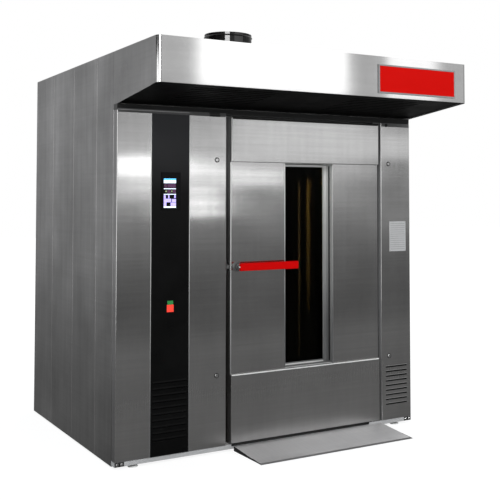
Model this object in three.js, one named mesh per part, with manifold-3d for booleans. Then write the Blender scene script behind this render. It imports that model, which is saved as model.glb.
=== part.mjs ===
// Rotating rack oven: insulated cabinet, hinged glazed door, service column, front hood and a
// turntable driven from the roof. Millimetres. X runs to the right, Y to the back, Z up.
// While it is built, y = 0 is the front face of the door and the columns and z = 0 is the floor.
// The last lines move the whole object so that its origin is under the middle of its box.

import * as THREE from "three";
import { mergeVertices } from "three/addons/utils/BufferGeometryUtils.js";
import Module from "manifold-3d";

// ---------------------------------------------------------------- driving dimensions

// Clearances
const FIT = 0.3; // between pieces that touch
const RUN = 1; // between a pin and the hole it turns in

// Cabinet
const CABINET_WIDTH = 2030;
const CABINET_HEIGHT = 2300;
const FACE_TO_BACK = 1640;
const FACE_DEPTH = 60; // from the front face to the carcass
const SHEET = 2;
const CLADDING_DEPTH = 38;
const CLADDING_FLOOR_GAP = 8;
const CLADDING_LIP = 14;
const FIRST_CASSETTE = 285;
const CASSETTE_MODULE = 440;
const CASSETTE_COUNT = 4;
const SEAM = 3;

// Base
const BASE_LOW = 15;
const BASE_HEIGHT = 25;
const BASE_WALL = 50;
const BASE_SETBACK = 4;
const FOOT_RADIUS = 28;
const FOOT_PAD = 7;
const FOOT_STEM_RADIUS = 8;
const FOOT_INSET_X = 115;
const FOOT_INSET_Y = 32;
const RAMP_LENGTH = 336;
const RAMP_HEIGHT = 28;
const RAMP_PLATE = 4;
const RAMP_SIDE_INSET = 20;

// Front: left column, door and right column, side by side
const LEFT_COLUMN_WIDTH = 670;
const LEFT_GAP = 35;
const RIGHT_GAP = 18;
const RIGHT_COLUMN_WIDTH = 235;
const COLUMN_DEPTH = 52;
const TOP_RAIL_HEIGHT = 34;
const DOOR_LOW = 46;
const DOOR_HEAD_GAP = 8;

// Door
const DOOR_SHELL_DEPTH = 52;
const DOOR_THICKNESS = 150;
const DOOR_FOOT_HEIGHT = 396;
const DOOR_HEAD_HEIGHT = 268;
const DOOR_MID_RECESS = 18;
const WINDOW_LEFT = 371; // from the door's left edge
const WINDOW_WIDTH = 353;
const REVEAL_WALL = 3;
const REVEAL_LIP = 14;
const REVEAL_LIP_AT = 98;
const REVEAL_LIP_DEPTH = 4;
const GLASS = 6;
const DOOR_OVERLAP = 60; // of the shell over the doorway's edge
const PLUG_CLEARANCE = 15;
const GASKET_WIDTH = 20;
const GASKET_INSET = 20;
const PIVOT_INSET = 18; // of the door's pivots from its right edge and its face
const PIVOT_RADIUS = 8;
const PIVOT_LENGTH = 34;
const BRACKET_PLATE = 5;

// Door handle and latch
const HANDLE_X = 45; // from the door's left edge
const HANDLE_Z = 1074;
const HANDLE_STANDOFF = 60;
const HANDLE_LENGTH = 382;
const HANDLE_HEIGHT = 46;
const HANDLE_DEPTH = 26;
const HANDLE_WALL = 3;
const HANDLE_HEAD_RADIUS = 17;
const SPINDLE_RADIUS = 9;
const ESCUTCHEON_RADIUS = 30;
const ESCUTCHEON_DEPTH = 10;
const BOLT_HEIGHT = 22;
const BOLT_DEPTH = 14;
const BOLT_LENGTH = 70;
const BOLT_THROW = 20;
const KEEPER_HEIGHT = 80;

// Service column
const BLACK_PANEL_LEFT = 201; // from the cabinet's left side
const BLACK_PANEL_WIDTH = 235;
const BLACK_PANEL_DEPTH = 3;
const DISPLAY_LEFT = 60; // from the black panel's left edge
const DISPLAY_WIDTH = 117;
const DISPLAY_HEIGHT = 213;
const DISPLAY_LOW = 1413;
const DISPLAY_BORDER = 18;
const DISPLAY_PROUD = 4;
const PANEL_SLOTS = 10;
const PANEL_SLOT_PITCH = 35;
const PANEL_SLOT_HEIGHT = 14;
const PANEL_SLOT_LOW = 126;
const PANEL_SLOT_MARGIN = 14;
const COLUMN_SLOTS = 9;
const COLUMN_SLOT_PITCH = 30;
const COLUMN_SLOT_HEIGHT = 11;
const COLUMN_SLOT_LOW = 135;
const COLUMN_SLOT_MARGIN = 32;
const LOCK_RADIUS = 11;
const LOCK_SHAFT_RADIUS = 7;
const LOCK_UNDER_TOP = 267; // of the upper lock below the column's top
const LOCK_LOW = 450;
const LOCK_INSET = 60;
const LOCK_TONGUE = 34;

// Hood
const HOOD_OVERHANG = 575;
const FASCIA_HEIGHT = 238;
const HOOD_REAR_HEIGHT = 296;
const HOOD_CORNER = 26;
const HOOD_SHEET = 3;
const UNDERSIDE_RAISE = 8;
const UNDERSIDE_SLOTS = 9;
const UNDERSIDE_SLOT_WIDTH = 16;
const UNDERSIDE_SLOT_PITCH = 44;
const SPIGOT_RADIUS = 130;
const SPIGOT_HEIGHT = 77;
const SPIGOT_FROM_LEFT = 515;
const SPIGOT_Y = -330;
const SPIGOT_FLANGE = 26;
const BADGE_WIDTH = 556;
const BADGE_HEIGHT = 150;
const BADGE_DEPTH = 8;
const BADGE_RIGHT = 106; // from the cabinet's right side
const BADGE_RISE = 32; // over the fascia's lower edge

// Baking chamber
const FRAME_DEPTH = 100;
const FRAME_RIM = 115;
const FRAME_SHEET = 3;
const CHAMBER_BESIDE_DOOR = 54; // how far the chamber reaches past each edge of the door
const FLOOR_Z = 60;
const CEILING_DROP = 12; // of the chamber's ceiling below the door's top
const LINER_WALL = 4;
const DUCT_DEPTH = 88;
const DUCT_SHEET = 3;
const DUCT_COLUMNS = 7;
const DUCT_PITCH = 150;
const DUCT_SLOT_WIDTH = 24;
const DUCT_SLOT_ROWS = 4;
const DUCT_SLOT_GAP = 40;
const DUCT_SLOT_LOW = 160;
const DUCT_SLOT_DROP = 90; // of the highest slot below the ceiling
const LAMP_DROP = 390;
const GRILLE_SLOTS = 8;
const GRILLE_LOW = 200;
const GRILLE_PITCH = 60;
const PLENUM_HEIGHT = 100;
const PLENUM_RIM = 20;
const ROOF_INSULATION = 75;
const ROOF_THICKNESS = 25;
const ROOF_SHEET = 4;
const REAR_INSULATION = 180;
const REAR_VOID = 66;
const SIDE_INSULATION = 68;
const BULKHEAD_FRONT = 400;
const BULKHEAD_THICKNESS = 70;

// Turntable and its drive
const TURNTABLE_CLEARANCE = 50; // from the turntable's edge to the nearest wall
const TURNTABLE_THICKNESS = 14;
const TURNTABLE_GAP = 8;
const GUIDE_HEIGHT = 16;
const GUIDE_WIDTH = 8;
const UPRIGHT = 26;
const UPRIGHT_INSET = 12; // from the turntable's edge
const YOKE_DROP = 35; // of the beam's top below the ceiling
const SHAFT_RADIUS = 25;
const GEAR_MODULE = 6;
const GEAR_TEETH = 48;
const PINION_TEETH = 16;
const GEAR_FACE = 24;
const BEARING_HEIGHT = 36;
const BEARING_FLANGE = 75;
const GEARBOX_REACH = 60;
const GEARBOX_HEIGHT = 62;
const DRIVE_MOTOR_RADIUS = 48;
const DRIVE_MOTOR_HEIGHT = 57;
const DRIVE_STAND = 10;
const BACKLASH = 0.6;
const ROOT_SPREAD = 0.01; // radians from a flank's foot to the root circle

// Air heating and circulation, in the left rear compartment
const FAN_RADIUS = 230;
const FAN_HEIGHT = 110;
const FAN_BLADES = 10;
const FAN_DROP = 170; // of the wheel's lower edge below the ceiling
const FAN_SHAFT_RADIUS = 14;
const FAN_MOTOR_RADIUS = 72;
const FAN_MOTOR_HEIGHT = 190;
const FAN_MOTOR_FOOT = 110;
const FAN_MOTOR_FINS = 4;
const HEATER_LOOPS = 5;
const HEATER_TUBE_RADIUS = 8;
const HEATER_PITCH = 130;
const HEATER_UNDER_FAN = 200;
const HEATER_SHARE = 0.43; // of the height up to the fan
const STEAM_TRAYS = 6;
const STEAM_PITCH = 95;
const STEAM_LOW = 80;
const STEAM_TROUGH = 34;
const STEAM_WALL = 6;
const STEAM_MARGIN = 60; // from the compartment's walls

// Extractor in the flue, and the switchgear behind the service door
const EXTRACTOR_HUB = 36;
const EXTRACTOR_HEIGHT = 56;
const EXTRACTOR_CHORD = 62;
const EXTRACTOR_BLADE = 3;
const EXTRACTOR_TIP_GAP = 14;
const EXTRACTOR_MOTOR = 46;
const EXTRACTOR_MOTOR_DROP = 30; // of the motor below the hood's top
const EXTRACTOR_ARM = 14;
const PLATE_LOW = 260;
const PLATE_UNDER_TOP = 210;
const PLATE_INSET = 60;
const PLATE_SHEET = 4;
const SWITCH_ROWS = 4;
const SWITCH_RISE = 220; // of the lowest row over the plate's foot
const SWITCH_HEIGHT = 100;
const SWITCH_DEPTH = 80;
const TRUNKING_RISE = 120;
const TRUNKING_HEIGHT = 45;

// ---------------------------------------------------------------- derived places

const HALF_WIDTH = CABINET_WIDTH / 2;
const LEFT = -HALF_WIDTH;
const RIGHT = HALF_WIDTH;
const INNER_LEFT = LEFT + CLADDING_DEPTH + FIT;
const INNER_RIGHT = RIGHT - CLADDING_DEPTH - FIT;
const INNER_BACK = FACE_TO_BACK - CLADDING_DEPTH - FIT;
const BASE_TOP = BASE_LOW + BASE_HEIGHT;
const ON_BASE = BASE_TOP + FIT;
const FASCIA_LOW = CABINET_HEIGHT - FASCIA_HEIGHT;
const HOOD_REAR_LOW = CABINET_HEIGHT - HOOD_REAR_HEIGHT;
const COLUMN_TOP = HOOD_REAR_LOW - TOP_RAIL_HEIGHT;
const DOOR_TOP = COLUMN_TOP - DOOR_HEAD_GAP;
const DOOR_MID_LOW = DOOR_LOW + DOOR_FOOT_HEIGHT;
const DOOR_MID_TOP = DOOR_TOP - DOOR_HEAD_HEIGHT;
const LOCK_HIGH = COLUMN_TOP - LOCK_UNDER_TOP;
const LEFT_COLUMN_RIGHT = LEFT + LEFT_COLUMN_WIDTH;
const DOOR_X0 = LEFT_COLUMN_RIGHT + LEFT_GAP;
const RIGHT_COLUMN_X0 = RIGHT - RIGHT_COLUMN_WIDTH;
const DOOR_X1 = RIGHT_COLUMN_X0 - RIGHT_GAP;
const OPENING = {
  x0: DOOR_X0 + DOOR_OVERLAP,
  x1: DOOR_X1 - DOOR_OVERLAP,
  z0: FLOOR_Z,
  z1: DOOR_TOP - DOOR_OVERLAP,
};
const PLUG = {
  x0: OPENING.x0 + PLUG_CLEARANCE,
  x1: OPENING.x1 - PLUG_CLEARANCE,
  z0: OPENING.z0 + PLUG_CLEARANCE,
  z1: OPENING.z1 - PLUG_CLEARANCE,
};
const WINDOW = {
  x0: DOOR_X0 + WINDOW_LEFT,
  x1: DOOR_X0 + WINDOW_LEFT + WINDOW_WIDTH,
  z0: DOOR_MID_LOW,
  z1: DOOR_MID_TOP,
};
const PIVOT_X = DOOR_X1 - PIVOT_INSET;
const PIVOT_Y = PIVOT_INSET;
const SERVICE_PIVOT_X = LEFT + PIVOT_INSET;
const HANDLE_AT_X = DOOR_X0 + HANDLE_X;
const CHAMBER_X0 = DOOR_X0 - CHAMBER_BESIDE_DOOR;
const CHAMBER_X1 = DOOR_X1 + CHAMBER_BESIDE_DOOR;
const CHAMBER_Y0 = FACE_DEPTH + FRAME_DEPTH + FIT;
const CHAMBER_Y1 = INNER_BACK - REAR_VOID - REAR_INSULATION - LINER_WALL - 2 * FIT;
const CHAMBER_WIDTH = CHAMBER_X1 - CHAMBER_X0;
const CHAMBER_DEPTH = CHAMBER_Y1 - CHAMBER_Y0;
const CEILING_Z = DOOR_TOP - CEILING_DROP;
const PLENUM_TOP = CEILING_Z + PLENUM_HEIGHT;
const ROOF_LOW = PLENUM_TOP + ROOF_INSULATION;
const ROOF_TOP = ROOF_LOW + ROOF_THICKNESS;
const TURN_X = (CHAMBER_X0 + CHAMBER_X1) / 2;
const TURN_Y = (CHAMBER_Y0 + CHAMBER_Y1) / 2;
const TURNTABLE_RADIUS = Math.min(CHAMBER_WIDTH, CHAMBER_DEPTH) / 2 - TURNTABLE_CLEARANCE;
const GUIDE_SPACING = TURNTABLE_RADIUS * 1.15;
const YOKE_TOP = CEILING_Z - YOKE_DROP;
const HEAT_X0 = INNER_LEFT + SIDE_INSULATION;
const HEAT_X1 = CHAMBER_X0 - LINER_WALL;
const HEAT_Y0 = BULKHEAD_FRONT + BULKHEAD_THICKNESS;
const HEAT_Y1 = CHAMBER_Y1 + LINER_WALL + FIT;
const FAN_X = (HEAT_X0 + HEAT_X1) / 2;
const FAN_Y = (HEAT_Y0 + HEAT_Y1) / 2;
const FAN_Z = CEILING_Z - FAN_DROP;
const HEATER_TOP = FAN_Z - HEATER_UNDER_FAN;
const HEATER_LOW = HEATER_TOP - FAN_Z * HEATER_SHARE;
const GEAR_Z = ROOF_TOP + BEARING_HEIGHT;
const GEAR_DISTANCE = (GEAR_MODULE * (GEAR_TEETH + PINION_TEETH)) / 2;
const DUCT_SLOT_TOP = CEILING_Z - DUCT_SLOT_DROP;
const SPIGOT_X = LEFT + SPIGOT_FROM_LEFT;
const BADGE_LOW = FASCIA_LOW + BADGE_RISE;
const BLACK_X0 = LEFT + BLACK_PANEL_LEFT;
const BLACK_X1 = BLACK_X0 + BLACK_PANEL_WIDTH;

// ---------------------------------------------------------------- shape helpers

const wasm = await Module();
wasm.setup();

/** A closed geometry as a solid. */
function solid(geometry) {
  const bare = geometry.index ? geometry.toNonIndexed() : geometry.clone();
  for (const name of Object.keys(bare.attributes)) {
    if (name !== "position") {
      bare.deleteAttribute(name);
    }
  }
  const merged = mergeVertices(bare, 1e-4);
  return new wasm.Manifold(
    new wasm.Mesh({
      numProp: 3,
      vertProperties: merged.attributes.position.array,
      triVerts: new Uint32Array(merged.index.array),
    }),
  );
}

/** A solid back as a geometry. */
function geometryOf(body) {
  const mesh = body.getMesh();
  const places = new Float32Array(mesh.numVert * 3);
  for (let i = 0; i < mesh.numVert; i += 1) {
    const start = i * mesh.numProp;
    places.set(mesh.vertProperties.subarray(start, start + 3), i * 3);
  }
  const geometry = new THREE.BufferGeometry();
  geometry.setAttribute("position", new THREE.BufferAttribute(places, 3));
  geometry.setIndex(new THREE.BufferAttribute(new Uint32Array(mesh.triVerts), 1));
  return geometry.toNonIndexed();
}

/** A block between two corners. */
function block(x0, x1, y0, y1, z0, z1) {
  const geometry = new THREE.BoxGeometry(x1 - x0, y1 - y0, z1 - z0);
  geometry.translate((x0 + x1) / 2, (y0 + y1) / 2, (z0 + z1) / 2);
  return solid(geometry);
}

/** A shape from corner points, with optional holes given the same way. */
function outline(points, holes = []) {
  const shape = new THREE.Shape(points.map(([a, b]) => new THREE.Vector2(a, b)));
  for (const hole of holes) {
    shape.holes.push(new THREE.Path(hole.map(([a, b]) => new THREE.Vector2(a, b))));
  }
  return shape;
}

/** The corners of a rectangle. */
function rectangle(a0, a1, b0, b1) {
  return [
    [a0, b0],
    [a1, b0],
    [a1, b1],
    [a0, b1],
  ];
}

/** A shape in X and Y, drawn up from z0 to z1. */
function riseZ(shape, z0, z1) {
  const geometry = new THREE.ExtrudeGeometry(shape, { depth: z1 - z0, bevelEnabled: false });
  geometry.translate(0, 0, z0);
  return solid(geometry);
}

/** A shape in X and Z, drawn back from y0 to y1. */
function runY(shape, y0, y1) {
  const geometry = new THREE.ExtrudeGeometry(shape, { depth: y1 - y0, bevelEnabled: false });
  geometry.rotateX(Math.PI / 2);
  geometry.translate(0, y1, 0);
  return solid(geometry);
}

/** A shape in Y and Z, drawn across from x0 to x1. */
function runX(shape, x0, x1) {
  const geometry = new THREE.ExtrudeGeometry(shape, { depth: x1 - x0, bevelEnabled: false });
  const turn = new THREE.Matrix4().set(0, 0, 1, 0, 1, 0, 0, 0, 0, 1, 0, 0, 0, 0, 0, 1);
  geometry.applyMatrix4(turn);
  geometry.translate(x0, 0, 0);
  return solid(geometry);
}

/** A body of revolution round a vertical line through x, y. The profile is [radius, z] points. */
function turnZ(x, y, profile, sides = 32) {
  const points = profile.map(([r, z]) => new THREE.Vector2(r, z));
  const closed = profile[0][0] > 0 ? [...points, points[0].clone()] : points;
  const geometry = new THREE.LatheGeometry(closed, sides);
  geometry.rotateX(Math.PI / 2);
  geometry.translate(x, y, 0);
  return solid(geometry);
}

/** A body of revolution round a line along Y through x, z. The profile is [radius, y] points. */
function turnY(x, z, profile, sides = 24) {
  const points = profile.map(([r, y]) => new THREE.Vector2(r, y));
  const closed = profile[0][0] > 0 ? [...points, points[0].clone()] : points;
  const geometry = new THREE.LatheGeometry(closed, sides);
  geometry.translate(x, 0, z);
  return solid(geometry);
}

/** A plain round bar along Z. */
function barZ(x, y, radius, z0, z1, sides = 24) {
  const profile = [
    [0, z0],
    [radius, z0],
    [radius, z1],
    [0, z1],
  ];
  return turnZ(x, y, profile, sides);
}

/** A plain round bar along Y. */
function barY(x, z, radius, y0, y1, sides = 20) {
  const profile = [
    [0, y0],
    [radius, y0],
    [radius, y1],
    [0, y1],
  ];
  return turnY(x, z, profile, sides);
}

/** The first solid with all the others added. */
function join(first, ...others) {
  return others.reduce((whole, piece) => whole.add(piece), first);
}

/** The first solid with all the others taken away. */
function cut(first, ...others) {
  return others.reduce((whole, piece) => whole.subtract(piece), first);
}

/** Places of `count` copies at `pitch`, starting from `from`. */
function series(count, from, pitch) {
  return Array.from({ length: count }, (_, i) => from + i * pitch);
}

// ---------------------------------------------------------------- finishes

const FINISH = {
  steel: { color: 0x9a9a9c, roughness: 0.35, metalness: 0.9 },
  paleSteel: { color: 0xb4b4b6, roughness: 0.4, metalness: 0.85 },
  darkSteel: { color: 0x2c2c2e, roughness: 0.6, metalness: 0.6 },
  black: { color: 0x101012, roughness: 0.3, metalness: 0.1 },
  glass: { color: 0x1a1410, roughness: 0.05, metalness: 0 },
  red: { color: 0xc81e1e, roughness: 0.4, metalness: 0 },
  rubber: { color: 0x3a2622, roughness: 0.8, metalness: 0 },
  wool: { color: 0xb9a56a, roughness: 1, metalness: 0 },
  cast: { color: 0x55585c, roughness: 0.7, metalness: 0.5 },
  blue: { color: 0x2b4a78, roughness: 0.5, metalness: 0.2 },
  element: { color: 0x5a4a42, roughness: 0.5, metalness: 0.7 },
  screen: { color: 0x0e2030, roughness: 0.2, metalness: 0 },
  lamp: { color: 0xffd9a0, roughness: 0.3, metalness: 0 },
};

const oven = new THREE.Group();

/** Adds a solid to the oven as a named mesh. */
function place(name, body, finish) {
  const mesh = new THREE.Mesh(geometryOf(body), new THREE.MeshStandardMaterial(FINISH[finish]));
  mesh.name = name;
  oven.add(mesh);
}

// ---------------------------------------------------------------- base

/** Welded floor frame: a ring with two cross rails and the wider front rail. */
function baseFrame() {
  const y0 = FACE_DEPTH + FIT;
  const crossRails = [HEAT_X1, CHAMBER_X1];
  const edges = [
    INNER_LEFT + BASE_WALL,
    ...crossRails.flatMap((x) => [x - BASE_WALL / 2, x + BASE_WALL / 2]),
    INNER_RIGHT - BASE_WALL,
  ];
  const bays = [0, 2, 4].map((i) =>
    block(edges[i], edges[i + 1], y0 + BASE_WALL, INNER_BACK - BASE_WALL, 0, BASE_TOP + 1),
  );
  const ring = cut(block(INNER_LEFT, INNER_RIGHT, y0, INNER_BACK, BASE_LOW, BASE_TOP), ...bays);
  const frontRail = block(LEFT + FIT, RIGHT - FIT, BASE_SETBACK, y0 + BASE_WALL / 2, BASE_LOW, BASE_TOP);
  const pin = barZ(SERVICE_PIVOT_X, PIVOT_Y, PIVOT_RADIUS, BASE_TOP - 1, BASE_TOP + PIVOT_LENGTH, 16);
  // The rail stays clear of the side cassettes, which start behind the front face.
  const clear = [
    block(LEFT - 1, INNER_LEFT - FIT, FACE_DEPTH - FIT, INNER_BACK, 0, BASE_TOP + 1),
    block(INNER_RIGHT + FIT, RIGHT + 1, FACE_DEPTH - FIT, INNER_BACK, 0, BASE_TOP + 1),
  ];
  return join(cut(join(ring, frontRail), ...clear), pin);
}

/** Levelling foot: pad and stem under the frame. */
function foot(x, y) {
  const top = BASE_LOW - FIT;
  const profile = [
    [0, 0],
    [FOOT_RADIUS, 0],
    [FOOT_RADIUS, FOOT_PAD * 0.6],
    [FOOT_RADIUS * 0.6, FOOT_PAD],
    [FOOT_STEM_RADIUS, FOOT_PAD],
    [FOOT_STEM_RADIUS, top],
    [0, top],
  ];
  return turnZ(x, y, profile, 14);
}

/** Sloping plate with two cheeks and a rear leg, in front of the doorway. */
function ramp() {
  const y1 = BASE_SETBACK - FIT;
  const y0 = y1 - RAMP_LENGTH;
  const x0 = DOOR_X0 + RAMP_SIDE_INSET;
  const x1 = DOOR_X1 + RIGHT_GAP / 2;
  const plate = outline([
    [y0, 0],
    [y0 + RAMP_PLATE * 4, 0],
    [y1 - RAMP_PLATE, RAMP_HEIGHT - RAMP_PLATE * 1.4],
    [y1 - RAMP_PLATE, 0],
    [y1, 0],
    [y1, RAMP_HEIGHT],
    [y1 - RAMP_PLATE, RAMP_HEIGHT],
    [y0, 1],
  ]);
  const cheek = outline([
    [y0 + RAMP_PLATE * 2, 0],
    [y1 - RAMP_PLATE / 2, 0],
    [y1 - RAMP_PLATE / 2, RAMP_HEIGHT - RAMP_PLATE / 2],
  ]);
  const inset = RAMP_SIDE_INSET;
  return join(
    runX(plate, x0, x1),
    runX(cheek, x0 + inset, x0 + inset + RAMP_PLATE),
    runX(cheek, x1 - inset - RAMP_PLATE, x1 - inset),
  );
}

place("base_frame", baseFrame(), "paleSteel");
const footX = HALF_WIDTH - FOOT_INSET_X;
const footPlaces = [
  [-footX, FOOT_INSET_Y],
  [footX, FOOT_INSET_Y],
  [-footX, INNER_BACK - FOOT_INSET_Y],
  [footX, INNER_BACK - FOOT_INSET_Y],
];
footPlaces.forEach(([x, y], i) => place(`levelling_foot_${i + 1}`, foot(x, y), "paleSteel"));
place("ramp", ramp(), "paleSteel");

// ---------------------------------------------------------------- cladding

/** Folded cassette section: face, two returns and their lips, in (along, depth) coordinates. */
function cassetteOutline(a0, a1, depth) {
  const lip = CLADDING_LIP;
  return [
    [a0, 0],
    [a1, 0],
    [a1, depth],
    [a1 - lip, depth],
    [a1 - lip, depth - SHEET],
    [a1 - SHEET, depth - SHEET],
    [a1 - SHEET, SHEET],
    [a0 + SHEET, SHEET],
    [a0 + SHEET, depth - SHEET],
    [a0 + lip, depth - SHEET],
    [a0 + lip, depth],
    [a0, depth],
  ];
}

/** A cassette of one side, from y0 to y1. side is -1 on the left and 1 on the right. */
function sideCassette(side, y0, y1) {
  const points = cassetteOutline(y0, y1, CLADDING_DEPTH).map(([y, d]) => [side * (HALF_WIDTH - d), y]);
  const wound = side < 0 ? points : points.reverse();
  return riseZ(outline(wound), CLADDING_FLOOR_GAP, CABINET_HEIGHT);
}

/** The seams of one side, from the front edge to the back. */
function seams() {
  const inner = series(CASSETTE_COUNT - 1, FACE_DEPTH + FIRST_CASSETTE, CASSETTE_MODULE);
  return [FACE_DEPTH, ...inner, FACE_TO_BACK];
}

/** The rear cladding: three cassettes riveted along their seams, as one folded sheet. */
function rearCladding() {
  const seam = series(2, INNER_LEFT + (INNER_RIGHT - INNER_LEFT) / 3, (INNER_RIGHT - INNER_LEFT) / 3);
  const front = FACE_TO_BACK - CLADDING_DEPTH;
  const low = CLADDING_FLOOR_GAP;
  const top = CABINET_HEIGHT;
  const tray = cut(
    block(INNER_LEFT, INNER_RIGHT, front, FACE_TO_BACK, low, top),
    block(INNER_LEFT + SHEET, INNER_RIGHT - SHEET, front - 1, FACE_TO_BACK - SHEET, low - 1, top + 1),
  );
  const webBack = FACE_TO_BACK - SHEET / 2;
  const webs = seam.map((x) => block(x - SEAM * 1.5, x + SEAM * 1.5, front, webBack, low, top));
  const grooves = seam.map((x) =>
    block(x - SEAM / 2, x + SEAM / 2, front + CLADDING_DEPTH / 2, FACE_TO_BACK + 1, low - 1, top + 1),
  );
  return cut(join(tray, ...webs), ...grooves);
}

/** Roof tray with the shaft's flange bearing, and with holes for the two shafts. */
function roofDeck() {
  const y0 = FACE_DEPTH + FIT;
  const t = ROOF_SHEET;
  const slab = cut(
    block(INNER_LEFT, INNER_RIGHT, y0, INNER_BACK, ROOF_LOW, ROOF_TOP),
    block(INNER_LEFT + t, INNER_RIGHT - t, y0 + t, INNER_BACK - t, ROOF_LOW - 1, ROOF_TOP - t),
  );
  const bearing = turnZ(TURN_X, TURN_Y, [
    [0, ROOF_TOP - 1],
    [BEARING_FLANGE, ROOF_TOP - 1],
    [BEARING_FLANGE, ROOF_TOP + BEARING_HEIGHT * 0.3],
    [BEARING_FLANGE * 0.62, ROOF_TOP + BEARING_HEIGHT * 0.4],
    [BEARING_FLANGE * 0.58, GEAR_Z - BEARING_HEIGHT / 6],
    [0, GEAR_Z - BEARING_HEIGHT / 6],
  ]);
  return cut(
    join(slab, bearing),
    barZ(TURN_X, TURN_Y, SHAFT_RADIUS + RUN, ROOF_LOW - 1, GEAR_Z),
    barZ(FAN_X, FAN_Y, FAN_SHAFT_RADIUS + RUN, ROOF_LOW - 1, ROOF_TOP + 1),
  );
}

const sideSeams = seams();
for (const [side, name] of [
  [-1, "left"],
  [1, "right"],
]) {
  for (let i = 0; i < CASSETTE_COUNT; i += 1) {
    const y0 = sideSeams[i] + (i ? SEAM / 2 : 0);
    const y1 = sideSeams[i + 1] - (i < CASSETTE_COUNT - 1 ? SEAM / 2 : 0);
    place(`${name}_cladding_${i + 1}`, sideCassette(side, y0, y1), "steel");
  }
}
place("rear_cladding", rearCladding(), "steel");
place("roof_deck", roofDeck(), "paleSteel");

// ---------------------------------------------------------------- front frame and rails

/** Insulated portal round the doorway, with the sloped threshold between its jambs. */
function frontFrame() {
  const y0 = FACE_DEPTH;
  const y1 = FACE_DEPTH + FRAME_DEPTH;
  const outer = rectangle(OPENING.x0 - FRAME_RIM, OPENING.x1 + FRAME_RIM, ON_BASE, HOOD_REAR_LOW - FIT);
  const portal = runY(outline(outer, [rectangle(OPENING.x0, OPENING.x1, OPENING.z0, OPENING.z1)]), y0, y1);
  // The jambs and the header are one folded box section, open on top under the hood.
  const t = FRAME_SHEET;
  const inside = rectangle(outer[0][0] + t, outer[1][0] - t, OPENING.z0 + t, HOOD_REAR_LOW + t);
  const keep = rectangle(OPENING.x0 - t, OPENING.x1 + t, OPENING.z0, OPENING.z1 + t);
  const hollow = cut(runY(outline(inside), y0 + t, y1 - t), runY(outline(keep), y0, y1));
  const sillNose = DOOR_LOW - BRACKET_PLATE / 2 - FIT;
  const sill = outline([
    [BASE_SETBACK, ON_BASE],
    [y0 + 1, ON_BASE],
    [y0 + 1, sillNose],
    [BASE_SETBACK + 8, sillNose],
  ]);
  const slope = outline([
    [y0 - 1, OPENING.z0 + 1],
    [y0 - 1, sillNose],
    [y0, sillNose],
    [y0 + FRAME_DEPTH / 4, OPENING.z0],
    [y0 + FRAME_DEPTH / 4, OPENING.z0 + 1],
  ]);
  return cut(join(portal, runX(sill, OPENING.x0, OPENING.x1)), runX(slope, OPENING.x0, OPENING.x1), hollow);
}

/** Rail over the columns and the door, with the upper pivot pin of the service door. */
function topRail() {
  const z0 = COLUMN_TOP + FIT;
  const rail = block(LEFT + FIT, RIGHT - FIT, BASE_SETBACK, FACE_DEPTH - FIT, z0, HOOD_REAR_LOW - FIT);
  const pin = barZ(SERVICE_PIVOT_X, PIVOT_Y, PIVOT_RADIUS, z0 - PIVOT_LENGTH, z0 + 1, 16);
  return join(rail, pin);
}

place("front_frame", frontFrame(), "steel");
place("top_rail", topRail(), "paleSteel");

// ---------------------------------------------------------------- columns

/** A folded column tray, open to the back. */
function columnTray(x0, x1) {
  const z0 = ON_BASE;
  return cut(
    block(x0, x1, 0, COLUMN_DEPTH, z0, COLUMN_TOP),
    block(x0 + SHEET, x1 - SHEET, SHEET, COLUMN_DEPTH + 1, z0 + SHEET, COLUMN_TOP - SHEET),
  );
}

/** Through slots of a louvre field. */
function louvres(x0, x1, y0, y1, count, low, pitch, height) {
  return series(count, low, pitch).map((z) => block(x0, x1, y0, y1, z, z + height));
}

/** Quarter-turn lock: slotted head, shaft and the tongue behind the tray. */
function lock(x, z) {
  const tongueY = COLUMN_DEPTH - 12;
  const head = turnY(
    x,
    z,
    [
      [0, -4],
      [LOCK_RADIUS - 2, -4],
      [LOCK_RADIUS, -2],
      [LOCK_RADIUS, -FIT],
      [LOCK_SHAFT_RADIUS, -FIT],
      [LOCK_SHAFT_RADIUS, tongueY + 3],
      [0, tongueY + 3],
    ],
    16,
  );
  const tongue = block(
    x - LOCK_SHAFT_RADIUS,
    x + LOCK_TONGUE,
    tongueY,
    tongueY + 3,
    z - LOCK_SHAFT_RADIUS,
    z + LOCK_SHAFT_RADIUS,
  );
  const keyway = block(x - LOCK_RADIUS / 2, x + LOCK_RADIUS / 2, -5, -3, z - 1.5, z + 1.5);
  return cut(join(head, tongue), keyway);
}

/** Service door: left tray with the recess that takes the black panel. */
function serviceDoor() {
  const lockX = LEFT_COLUMN_RIGHT - LOCK_INSET;
  const slotTop = PANEL_SLOT_LOW + PANEL_SLOT_PITCH * PANEL_SLOTS;
  const thick = block(BLACK_X0 - 12, BLACK_X1 + 12, 1, BLACK_PANEL_DEPTH + SHEET + FIT, ON_BASE, COLUMN_TOP);
  const recess = block(BLACK_X0, BLACK_X1, -1, BLACK_PANEL_DEPTH + FIT, 0, COLUMN_TOP + 1);
  const vent = block(BLACK_X0 + 10, BLACK_X1 - 10, -1, COLUMN_DEPTH / 2, PANEL_SLOT_LOW - 8, slotTop);
  const hole = RUN + PIVOT_RADIUS;
  return cut(
    join(columnTray(LEFT, LEFT_COLUMN_RIGHT), thick),
    recess,
    vent,
    barZ(SERVICE_PIVOT_X, PIVOT_Y, hole, 0, CABINET_HEIGHT, 20),
    barY(lockX, LOCK_HIGH, LOCK_SHAFT_RADIUS + RUN, -1, SHEET + 1),
    barY(lockX, LOCK_LOW, LOCK_SHAFT_RADIUS + RUN, -1, SHEET + 1),
  );
}

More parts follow.
